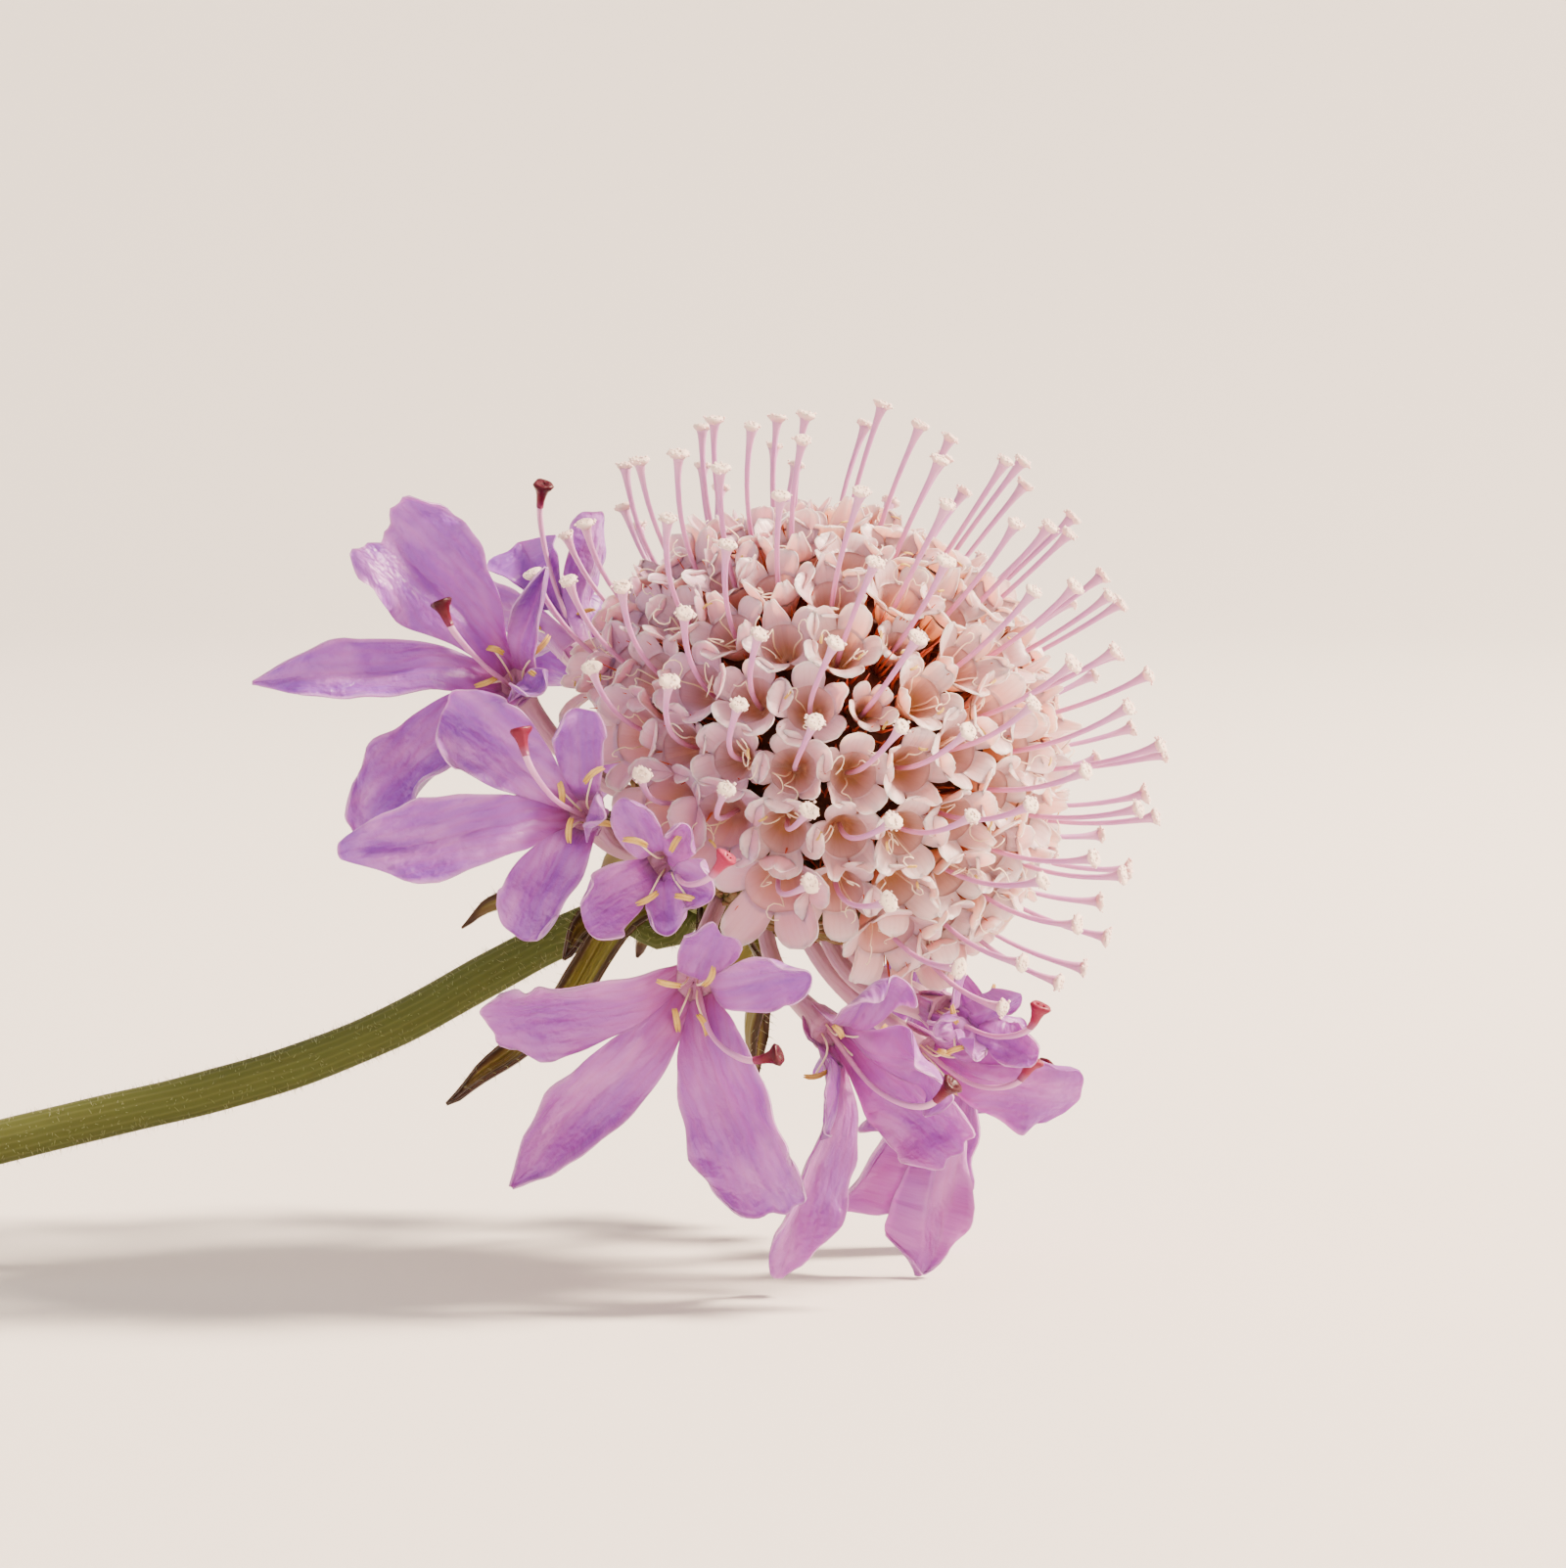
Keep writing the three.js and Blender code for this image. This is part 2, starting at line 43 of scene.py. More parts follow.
MM = 0.001
SHIFT = np.array([33.420, -2.703, 0.0])  # from the drawing's origin to under the flower's middle
HEAD_CENTRE = np.array([1.5, 0.0, 26.25]) + SHIFT
HEAD_TIP = math.radians(40)  # how far the head nods towards +X
HEAD_TURN = math.radians(18)  # and towards the front
DOME_RADIUS = 12.5
CORE_RADIUS = 9.6
CORE_BASE = -7.9
SEAT_GAP = 0.3
NECK_TOP = CORE_BASE - SEAT_GAP
NECK_BOTTOM = NECK_TOP - 2.0

DISC_COUNT = 118
LAST_FLORET = math.radians(103)  # from the crown to the lowest cups
GOLDEN_ANGLE = math.radians(137.507764)
DISC_REACH = 2.0
EDGE_START = 0.78  # the share of the cups, from the crown, after which they grow to the edge
EDGE_GROWTH = 0.4
EDGE_DROOP = 0.65
LATE_FLORETS = (15, 36)  # late, narrow cups that leave the bristles round them in sight
LATE_SIZE = 0.62
BRISTLES = 8
LATE_BRISTLES = 26
SKIRT_SCALES = 1100
PIN_SHARE = 0.94  # the rest of the cups have no style yet
PIN_RISE = 4.5
CROWN_PULL = 0.7  # how strongly pins bend to the crown
PIN_FOLD = 0.5  # how much less the pins at the front stand out
PIN_LIFT = 0.6  # how strongly the front ones bend up to the light
PIN_SHADE = 0.35  # how far down the front that still counts

STEM_RADIUS = 1.12
STEM_LIE = STEM_RADIUS + 0.04
STALK_RINGS = 150
STALK_HAIRS = 4400
BRACT_HAIRS = 190
BRACT_HOOK = 0.8
STEM_LINE = [
    [-8, 3.9, 17.9], [-11.5, 4.2, 16.7], [-15, 4.1, 14.9], [-20, 3.5, 12.2], [-25, 2.7, 10.2],
    [-30, 1.9, 8.8], [-35, 1.1, 7.7], [-41, 0.3, 6.3], [-50, -0.4, 3.9], [-60, -0.9, 1.75],
    [-68, -1.3, STEM_LIE], [-77, -1.9, STEM_LIE], [-86, -2.8, STEM_LIE],
]

# Bracts: clock angle up from +X seen from the front, lean to the front in degrees, reach.
BRACTS = [
    [219, 14, 18.2], [198, -24, 15.2], [163, 4, 13.6], [207, 28, 9.8], [246, 20, 12.6],
    [275, -6, 12], [262, -42, 12.8], [228, -56, 12.4], [186, -58, 12],
]

# Ray florets: turn round the head, out from its axis, up along it, and the way the throat
# looks. Lobes are clock, lean, reach, width, how far they fold lengthwise and curl, and the
# tip from -1 (square) over 0 (round) to 1 (pointed). style is clock, lean and reach. red takes
# the stigma from dark crimson to rose, and rosy takes the petals from violet to pink. rosy is
# high on the side towards the key lamp and low on the far side, so that spread from pink to
# violet is partly painted shade, partly the florets' own hue.
RAY_FLORETS = [
    dict(turn=-161.5, out=15, up=-5.2, face=(100, 62), style=(131, 40, 6.9), red=0.05, rosy=0.1,
         lobes=[(131, 8, 10.4, 6.4, 0.1, 0.1, -1.0), (181, 10, 13.4, 3.7, 0.5, 0.1, 1.0),
                (222, 14, 11.6, 4.6, 0.1, -0.1, 0.35), (73, 18, 6.4, 2.3, 0.9, 0.1, 0.9),
                (-28, 58, 3.6, 2.6, 0.3, 0.3, -0.2)]),
    dict(turn=-119.5, out=15, up=-5, face=(120, 74), style=(124, 40, 6.8), red=0.4, rosy=0.3,
         lobes=[(142, 4, 8.8, 4.8, 0.1, -0.1, -0.2), (191, 10, 12.3, 4.6, 0.25, 0.1, 0.8),
                (242, 8, 7.1, 4.4, 0.2, 0.1, 0.1), (93, 4, 5.3, 2.9, 0.15, 0.2, -0.1),
                (-8, 60, 2.8, 2.4, 0.3, 0.4, 0.5)]),
    dict(turn=-100.5, out=15.1, up=-3.6, face=(210, 80), style=(14, 56, 5.6), red=1.0, rosy=0.8,
         inner=True,
         lobes=[(212, 8, 4.9, 3.9, 0.15, 0.3, -0.3), (272, 20, 3.6, 2.8, 0.2, 0.2, 0),
                (121, 14, 4.2, 2.7, 0.2, 0.1, 0.4), (58, 34, 3.1, 2.4, 0.2, 0.3, 0.3),
                (-22, 30, 3.4, 2.8, 0.2, 0.3, 0)]),
    dict(turn=-81.5, out=15, up=-7.8, face=(250, 70), style=(-33, 40, 6.6), red=0.12, rosy=0.7,
         lobes=[(189, 2, 10.3, 4.5, 0.3, -0.1, -0.3), (226, 0, 13.2, 4.6, 0.25, 0.1, 1.0),
                (-69, 4, 12, 5.7, 0.15, -0.1, -0.3), (66, 24, 4, 3.4, 0.2, 0.2, -1.0),
                (14, 20, 6.6, 3.4, 0.3, 0.4, 0.4)]),
    dict(turn=-51.5, out=15, up=-6.2, face=(-50, 52), style=(-16, 44, 8.2), red=0.1, rosy=0.95,
         lobes=[(257, -4, 12.3, 4.5, 0.3, 0.0, 0.85), (-38, 12, 8.8, 4.9, 0.2, 0.3, -0.2),
                (-92, 38, 5.6, 3, 0.3, -0.3, 0.5), (58, 22, 5.2, 3.4, 0.4, 0.5, 0.2),
                (-10, 26, 7.6, 3.6, 0.45, 0.6, -0.1)]),
    dict(turn=-17, out=15, up=-6.7, face=(-40, 36), style=(2, 24, 5.6), red=0.6, rosy=0.9,
         lobes=[(-95, 2, 11.4, 4.7, 0.2, 0.1, 0.9), (237, -10, 9.4, 3.3, 0.4, 0.1, 0.4),
                (-11, 2, 8, 5.6, 0.1, -0.1, 0.05), (18, 8, 5.4, 2.8, 0.3, 0.3, 0.5),
                (46, -10, 4.4, 2.6, 0.3, 0.3, 0.8)]),
    dict(turn=10, out=15, up=-7, face=(-40, -24), style=(-30, -30, 6.4), red=0.2, rosy=0.8,
         lobes=[(-99, -10, 13.3, 4.4, 0.15, 0.1, 0.4), (-40, -34, 8, 4.2, 0.2, 0.2, 0.2),
                (228, -24, 8.6, 3.8, 0.2, 0.1, 0.7), (6, -14, 3.8, 2.6, 0.3, 0.3, 0),
                (-20, -50, 4.2, 2.6, 0.3, 0.3, 0)]),
    dict(turn=46, out=15, up=-6.6, red=0.2, rosy=0.6),
    dict(turn=81, out=15, up=-6.1, red=0.3, rosy=0.4),
    dict(turn=115.5, out=15, up=-6.8, red=0.1, rosy=0.3),
    dict(turn=149.5, out=15, up=-6.5, face=(120, -40), style=(102, -8, 8.6), red=0.15, rosy=0.2,
         lobes=[(118, -30, 7.2, 4.8, 0.15, 0.1, 0), (166, -20, 9.2, 4.6, 0.2, 0.1, 0.5),
                (206, -50, 9, 4.4, 0.2, -0.1, 0.2), (77, -10, 7.2, 3.2, 0.3, 0.1, 0.3),
                (40, -50, 3.8, 2.6, 0.3, 0.3, 0)]),
    dict(turn=-24, out=14.9, up=-3.6, face=(-20, 40), style=(12, 36, 5.4), red=0.6, rosy=0.9,
         inner=True,
         lobes=[(-22, 14, 5, 3, 0.2, 0.2, 0.4), (22, 4, 3.8, 2.8, 0.2, 0.2, 0.1),
                (-66, 44, 3, 2.6, 0.2, 0.3, 0), (78, -26, 2.5, 2.4, 0.2, 0.3, 0),
                (190, 62, 2.6, 2.4, 0.2, 0.3, 0)]),
]
RAY_FAN = [
    (0, -8, 12.4, 4.8, 0.2, -0.1, 0.6), (-46, -16, 10.2, 4.6, 0.15, 0.1, -0.2),
    (44, 10, 10.4, 4.6, 0.25, 0.1, 0.3), (-124, 14, 4.4, 2.8, 0.3, 0.3, 0),
    (122, 10, 4.6, 2.8, 0.3, 0.3, 0.3),
]
OUTER_ROOT = (5.9, -7.02)
INNER_ROOT = (7.2, -5.95)
TUBE_SUNK = 0.15  # the share of its length by which a tube starts inside the scaly cone

TABLE_SIDES = 96
AIM_HEIGHT = 24.95
VIEW_DISTANCE = 0.3  # metres
VIEW_RISE = math.radians(4)

# Numbers and directions -------------------------------------------------------------------

UP = np.array([0.0, 0.0, 1.0])


def draw(i, which):
    value = math.sin(i * 12.9898 + which * 78.233) * 43758.5453
    return value - math.floor(value)


def swing(i, which):
    return 2 * draw(i, which) - 1


def unit(v):
    return v / np.maximum(np.linalg.norm(v, axis=-1, keepdims=True), 1e-12)


def smooth(low, high, value):
    share = np.clip((value - low) / (high - low), 0, 1)
    return share * share * (3 - 2 * share)


def head_matrix():
    c, s = math.cos(HEAD_TIP), math.sin(HEAD_TIP)
    tip = np.array([[c, 0, s], [0, 1, 0], [-s, 0, c]])
    c, s = math.cos(HEAD_TURN), math.sin(HEAD_TURN)
    turn = np.array([[1, 0, 0], [0, c, -s], [0, s, c]])
    return tip @ turn


HEAD = head_matrix()


def placed(points):
    """Points of the head's frame, on the lying flower."""
    return points @ HEAD.T + HEAD_CENTRE


def direction(clock, lean):
    clock, lean = math.radians(clock), math.radians(lean)
    flat = math.cos(lean)
    return np.array([flat * math.cos(clock), -math.sin(lean), flat * math.sin(clock)])


def square_to(way, axis):
    return unit(way - axis * np.sum(way * axis, axis=-1, keepdims=True))


def spoke(side, other, turn):
    """The way at turn in the plane of side and other, or a ring of ways for many turns."""
    turn = np.asarray(turn)[..., None]
    return np.cos(turn) * side + np.sin(turn) * other


def turned(way, axis, degrees):
    c, s = math.cos(math.radians(degrees)), math.sin(math.radians(degrees))
    return way * c + np.cross(axis, way) * s + axis * np.dot(axis, way) * (1 - c)


def run_of(line):
    """How far along the line each of its points lies."""
    return np.concatenate([[0], np.cumsum(np.linalg.norm(np.diff(line, axis=0), axis=1))])


def through(stops, count):
    """count points, evenly apart, on a smooth line through the stops."""
    stops = np.asarray(stops, float)
    ends = np.vstack([2 * stops[0] - stops[1], stops, 2 * stops[-1] - stops[-2]])
    gaps = np.maximum(np.linalg.norm(np.diff(ends, axis=0), axis=1), 1e-6) ** 0.5
    knots = np.concatenate([[0], np.cumsum(gaps)])
    fine = []
    for i in range(len(stops) - 1):
        a, b, c, d = ends[i:i + 4]
        ka, kb, kc, kd = knots[i:i + 4]
        t = np.linspace(kb, kc, 24, endpoint=i == len(stops) - 2)[:, None]
        ab = (kb - t) / (kb - ka) * a + (t - ka) / (kb - ka) * b
        bc = (kc - t) / (kc - kb) * b + (t - kb) / (kc - kb) * c
        cd = (kd - t) / (kd - kc) * c + (t - kc) / (kd - kc) * d
        ac = (kc - t) / (kc - ka) * ab + (t - ka) / (kc - ka) * bc
        bd = (kd - t) / (kd - kb) * bc + (t - kb) / (kd - kb) * cd
        fine.append((kc - t) / (kc - kb) * ac + (t - kb) / (kc - kb) * bd)
    fine = np.vstack(fine)
    run = run_of(fine)
    wanted = np.linspace(0, run[-1], count)
    return np.stack([np.interp(wanted, run, fine[:, k]) for k in range(3)], 1)


def crumple(x, y, seed, short, long, spread=1.0):
    """Uneven folds, short to long millimetres apart, from about -1 to 1. A small spread
    keeps their crests along y."""
    total = 0.0
    for k in range(6):
        way = 0.5 * math.pi * spread * swing(6 * seed + k, 91)
        pitch = short + (long - short) * draw(6 * seed + k, 92)
        total = total + np.sin(2 * math.pi * (
            (x * math.cos(way) + y * math.sin(way)) / pitch + draw(6 * seed + k, 93)))
    return total / 3


# Gathering many small parts in one piece --------------------------------------------------


class Growth:
    """The points, faces and marks of one piece. A mark is, for each point, its distance
    across and along its part in millimetres, its share of the way along, its part's draw,
    and how near the rim it is, from 0 to 1."""

    def __init__(self):
        self.points, self.faces, self.marks, self.count = [], [], [], 0

    def add(self, points, faces, across, along, share, tint, rim=0.0):
        points = np.asarray(points, float).reshape(-1, 3)
        marks = np.zeros((len(points), 5))
        for k, values in enumerate((across, along, share, tint, rim)):
            marks[:, k] = np.asarray(values, float).reshape(-1) if np.ndim(values) else values
        self.points.append(points)
        self.faces.extend((np.asarray(face) + self.count).tolist() for face in faces)
        self.marks.append(marks)
        self.count += len(points)

    def add_sheet(self, sheet, thickness, across, along, share, tint, wrap=False, edge=0.5,
                  rim=0.0):
        """A thin closed skin, whose grid is rows of points. It thins to edge at its rim."""
        rows, cols = sheet.shape[:2]
        down = np.gradient(sheet, axis=0)
        over = np.gradient(sheet, axis=1)
        if wrap:
            over = (np.roll(sheet, -1, 1) - np.roll(sheet, 1, 1)) / 2
        normal = unit(np.cross(down, over))
        thick = np.full((rows, cols), thickness)
        if not wrap:
            thick[:, 0] *= edge
            thick[:, -1] *= edge
        thick[-1] *= edge
        half = normal * thick[..., None] / 2
        n = rows * cols
        index = np.arange(n).reshape(rows, cols)
        a, b = index[:-1], index[1:]
        if wrap:
            quads = np.stack([a, b, np.roll(b, -1, 1), np.roll(a, -1, 1)], -1).reshape(-1, 4)
            rims = [np.append(index[0], index[0, 0])[::-1], np.append(index[-1], index[-1, 0])]
        else:
            quads = np.stack([a[:, :-1], b[:, :-1], b[:, 1:], a[:, 1:]], -1).reshape(-1, 4)
            rims = [np.concatenate([
                index[0, ::-1], index[1:, 0], index[-1, 1:], index[-2::-1, -1]])]
        walls = [np.stack([rim[:-1], rim[:-1] + n, rim[1:] + n, rim[1:]], -1) for rim in rims]
        faces = np.vstack([quads, quads[:, ::-1] + n, *[wall[:, ::-1] for wall in walls]])
        points = np.concatenate([(sheet + half).reshape(-1, 3), (sheet - half).reshape(-1, 3)])
        twice = [np.tile(np.broadcast_to(v, (rows, cols)).reshape(-1), 2)
                 for v in (across, along, share, tint, rim)]
        self.add(points, faces, *twice)

    def add_limb(self, line, radii, sides, tint=0.0, ridges=None):
        """A round limb along a line of points, closed at both ends."""
        line = np.asarray(line, float)
        tangent = unit(np.gradient(line, axis=0))
        side = square_to(np.array([0.31, 0.93, 0.2]), tangent[0])
        sides_at = []
        for way in tangent:
            side = square_to(side, way)
            sides_at.append(side)
        sides_at = np.array(sides_at)
        other = np.cross(tangent, sides_at)
        angle = np.linspace(0, 2 * math.pi, sides, endpoint=False)
        radius = np.broadcast_to(np.asarray(radii, float), (len(line),))[:, None]
        radius = radius * (np.ones(sides) if ridges is None else ridges(angle))[None]
        rings = line[:, None] + radius[..., None] * spoke(
            sides_at[:, None], other[:, None], angle)
        rows = len(line)
        index = np.arange(rows * sides).reshape(rows, sides)
        a, b = index[:-1], index[1:]
        quads = np.stack([a, np.roll(a, -1, 1), np.roll(b, -1, 1), b], -1).reshape(-1, 4)
        start, end = rows * sides, rows * sides + 1
        first = np.stack([np.full(sides, start), np.roll(index[0], -1), index[0]], -1)
        last = np.stack([np.full(sides, end), index[-1], np.roll(index[-1], -1)], -1)
        run = run_of(line)
        around = np.broadcast_to(angle * np.mean(radius), (rows, sides))
        along = np.broadcast_to(run[:, None], (rows, sides))
        self.add(
            np.vstack([rings.reshape(-1, 3), line[:1], line[-1:]]),
            quads.tolist() + first.tolist() + last.tolist(),
            np.append(around.reshape(-1), [0, 0]),
            np.append(along.reshape(-1), [0, run[-1]]),
            np.append(along.reshape(-1) / run[-1], [0, 1]), tint)

    def piece(self, name, finish, slot, *nodes):
        """One object of all that was gathered, in metres."""
        mesh = bpy.data.meshes.new(name)
        mesh.from_pydata((np.vstack(self.points) * MM).tolist(), [], self.faces)
        marks = np.vstack(self.marks)
        for label, columns in (("place", (0, 1, 2)), ("part", (3, 4, 1))):
            layer = mesh.attributes.new(label, "FLOAT_VECTOR", "POINT")
            layer.data.foreach_set("vector", marks[:, columns].astype(np.float32).ravel())
        mesh.polygons.foreach_set("use_smooth", np.ones(len(mesh.polygons), bool))
        mesh.materials.append(finish)
        mesh.update()
        made = bpy.data.objects.new(name, mesh)
        bpy.context.collection.objects.link(made)
        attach(made, "root")
        if nodes:
            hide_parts(*nodes)


BEAD_POINTS = np.array([[1, 0, 0], [-1, 0, 0], [0, 1, 0], [0, -1, 0], [0, 0, 1], [0, 0, -1.0]])
BEAD_FACES = np.array([
    [0, 2, 4], [2, 1, 4], [1, 3, 4], [3, 0, 4], [2, 0, 5], [1, 2, 5], [3, 1, 5], [0, 3, 5]])


def add_bead(growth, middle, size, tint):
    growth.add(middle + BEAD_POINTS * size, BEAD_FACES, 0, 0, 0.5, tint)


# Materials --------------------------------------------------------------------------------
# Places on the pieces are in millimetres, so a pattern's per_mm is how many of it go to the
# millimetre. Skin cells are drawn two or three times as wide as real ones, so that they show.

TIMES = {"operation": "MULTIPLY"}
PLUS = {"operation": "ADD"}
TIMES_PLUS = {"operation": "MULTIPLY_ADD"}
COLOURS = {"data_type": "RGBA"}  # a Mix of two colours, which come out at 2


def linear(hex_code):
    """An sRGB hex colour as the four linear numbers of a socket."""
    parts = [int(hex_code[i:i + 2], 16) / 255 for i in (1, 3, 5)]
    return tuple(p / 12.92 if p <= 0.04045 else ((p + 0.055) / 1.055) ** 2.4
                 for p in parts) + (1.0,)


def new_finish(name):
    finish = bpy.data.materials.new(name)
    finish.use_nodes = True
    finish.node_tree.nodes.clear()
    return finish, finish.node_tree


def node(tree, kind, settings=None, stops=(), out=0, **inputs):
    """Adds a node and gives its output out, or the node itself where out is None. settings
    are its own fields, stops the places of a ramp with their colours or numbers, and inputs
    its sockets by name or number: another node's output, a number, a vector or a hex code."""
    made = tree.nodes.new("ShaderNode" + kind)
    for field, value in (settings or {}).items():
        setattr(made, field, value)
    if stops:
        band = made.color_ramp.elements
        while len(band) < len(stops):
            band.new(0.5)
        for element, (at, value) in zip(band, stops):
            element.position = at
            element.color = linear(value) if isinstance(value, str) else (value,) * 3 + (1,)
    for label, value in inputs.items():
        key = int(label[1:]) if label[0] == "_" else label.replace("_", " ")
        if isinstance(value, bpy.types.NodeSocket):
            tree.links.new(value, made.inputs[key])
        else:
            made.inputs[key].default_value = linear(value) if isinstance(value, str) else value
    return made if out is None else made.outputs[out]


def marks_of(tree):
    """Sockets for the place (across and along in millimetres, and the share along), that
    share by itself, the part's draw and the nearness of the rim."""
    place = node(tree, "Attribute", {"attribute_name": "place"}, out="Vector")
    part = node(tree, "Attribute", {"attribute_name": "part"}, out="Vector")
    split = node(tree, "SeparateXYZ", out=None, Vector=part)
    return place, node(tree, "SeparateXYZ", out=2, Vector=place), *split.outputs[:2]


def tinted(tree, base, mask, share, colour):
    """base, taken towards colour by share where mask is 1."""
    reach = node(tree, "Math", TIMES, _0=mask, _1=share)
    return node(tree, "Mix", COLOURS, out=2, _0=reach, _6=base, _7=colour)


def marked(tree, base, mask, stops, colour):
    """base, taken towards colour as far as stops say for each strength of mask."""
    reach = node(tree, "ValToRGB", stops=stops, Fac=mask)
    return node(tree, "Mix", COLOURS, out=2, _0=reach, _6=base, _7=colour)


def stacked(tree, *layers):
    """Layers of relief added up, each a socket and its weight."""
    total, *others = [node(tree, "Math", TIMES, _0=layer, _1=weight)
                      for layer, weight in layers]
    for other in others:
        total = node(tree, "Math", PLUS, _0=total, _1=other)
    return total


def mottled(tree, place, per_mm, detail=3.0, rough=0.55, stretch=(1.0, 1.0, 1.0)):
    """Uneven spots, per_mm of them to the millimetre, and longer where stretch is under 1."""
    drawn = node(tree, "VectorMath", TIMES, _0=place, _1=stretch)
    return node(tree, "TexNoise", Vector=drawn, Scale=per_mm, Detail=detail, Roughness=rough)


def veins(tree, place, across_pitch, wander=0.4):
    """Fine lines that run the length of a petal, across_pitch millimetres apart."""
    warp = mottled(tree, place, 0.5, 2.0, stretch=(1.0, 0.6, 0.0))
    shift = node(tree, "Math", TIMES, _0=warp, _1=wander * 2)
    across = node(tree, "Math", PLUS, _0=node(tree, "SeparateXYZ", Vector=place), _1=shift)
    turns = node(tree, "Math", TIMES, _0=across, _1=2 * math.pi / across_pitch)
    wave = node(tree, "Math", {"operation": "SINE"}, _0=turns)
    ridge = node(tree, "Math", TIMES_PLUS, _0=wave, _1=0.5, _2=0.5)
    return node(tree, "Math", {"operation": "POWER"}, _0=ridge, _1=3.0)


def shade(tree, base, rough, height, bump, flesh=0.0, flesh_colour=(1, 0.4, 0.5),
          flesh_depth=0.6, sheen=0.0, gloss=0.5):
    """The one surface shader. Depths are in millimetres."""
    relief = node(tree, "Bump", Strength=1.0, Distance=bump * MM, Height=height)
    skin = node(tree, "BsdfPrincipled", Base_Color=base, Roughness=rough, Normal=relief,
                Specular_IOR_Level=gloss, Subsurface_Weight=flesh,
                Subsurface_Radius=flesh_colour, Subsurface_Scale=flesh_depth * MM,
                Sheen_Weight=sheen, Sheen_Roughness=0.45)
    node(tree, "OutputMaterial", out=None, Surface=skin)


def ray_petal():
    """Living petal: lilac skin of fine swollen cells over watery flesh. Veins fan along it,
    crimson in the throat, soft creases catch the light, and the thin rim is paler."""
    finish, tree = new_finish("ray_petal")
    place, along, part, rim = marks_of(tree)
    base = node(tree, "ValToRGB", Fac=along, stops=[
        (0.0, "#D8B0BA"), (0.07, "#D09AAE"), (0.13, "#B06A94"), (0.2, "#9A4E8E"),
        (0.42, "#8848AA"), (0.75, "#763AAC"), (1.0, "#7C48B8")])
    # part carries each floret's rosy: the pink towards the key lamp and the violet on the far side
    # are partly painted shade.
    rosy = tinted(tree, base, part, 0.75, "#A4529C")
    cloud = mottled(tree, place, 0.35, 3.0, 0.6, (1.0, 0.5, 1.0))
    blade = node(tree, "ValToRGB", Fac=along, stops=[(0.1, 0.1), (0.25, 1.0)])
    deep = node(tree, "ValToRGB", Fac=cloud, stops=[(0.35, 0.0), (0.65, 0.6)])
    cloudy = tinted(tree, rosy, deep, blade, "#6C36A2")
    wash = mottled(tree, place, 0.8, 2.0, 0.5, (1.0, 0.35, 1.0))
    washed = marked(tree, cloudy, wash, [(0.45, 0.0), (0.75, 0.55)], "#BE86C6")
    lines = veins(tree, place, 0.46)
    fade = node(tree, "ValToRGB", Fac=along, stops=[
        (0.0, 0.04), (0.07, 0.1), (0.15, 0.4), (0.3, 0.16), (1.0, 0.06)])
    veined = tinted(tree, washed, lines, fade, "#8A2A62")
    rimmed = marked(tree, veined, rim, [(0.88, 0.0), (1.0, 0.4)], "#D2A4D8")
    cells = mottled(tree, place, 9.0, 2.0)
    folds = mottled(tree, place, 1.5, 3.0, 0.6, (1.0, 0.3, 1.0))
    pucker = mottled(tree, place, 1.4, 2.0, 0.55, (1.0, 0.7, 1.0))
    outer = node(tree, "ValToRGB", Fac=along, stops=[(0.3, 0.0), (0.75, 1.0)])
    height = stacked(tree, (cells, 0.22), (lines, -0.12), (folds, 1.6),
                     (pucker, node(tree, "Math", TIMES, _0=outer, _1=3.4)))
    rough = node(tree, "Math", TIMES_PLUS, _0=cells, _1=0.2, _2=0.36)
    shade(tree, rimmed, rough, height, 0.1, 0.35, (0.9, 0.4, 0.8), 0.9, 0.12, 0.45)
    return finish


def disc_petal():
    """Small waxy corollas: cream to dusky pink lobes where sun comes through, tan low in
    the cup, with an ochre bottom and paler rims. Their lilac tint is painted shade on the cups
    of the head's left side, away from the key lamp, and is laid on the lowest cups as well."""
    finish, tree = new_finish("disc_petal")
    place, along, part, rim = marks_of(tree)
    base = node(tree, "ValToRGB", Fac=along, stops=[
        (0.0, "#BC7420"), (0.12, "#CA8A4A"), (0.24, "#CC937E"), (0.44, "#D29E9A"),
        (0.6, "#E0ADAE"), (0.82, "#F0C6C6"), (1.0, "#FBE2DE")])
    # How far each cup goes lilac comes from its part's draw: painted shade on the head's left
    # side, with more of it on the lowest cups.
    deep = node(tree, "ValToRGB", Fac=along, stops=[(0.15, 0.4), (0.5, 0.85)])
    lilac = tinted(tree, base, part, deep, "#BA80B6")
    cloudy = tinted(tree, lilac, mottled(tree, place, 0.9, 2.0), 0.3, "#D28E90")
    lines = veins(tree, place, 0.3, 0.2)
    veined = tinted(tree, cloudy, lines, 0.1, "#C4808C")
    rimmed = marked(tree, veined, rim, [(0.7, 0.0), (1.0, 0.4)], "#FFF2EE")
    cells = mottled(tree, place, 12.0, 2.0)
    height = stacked(tree, (cells, 0.4), (lines, -0.3))
    rough = node(tree, "Math", TIMES_PLUS, _0=cells, _1=0.2, _2=0.3)
    shade(tree, rimmed, rough, height, 0.02, 0.7, (1.0, 0.55, 0.4), 1.4, 0.1, 0.5)
    return finish


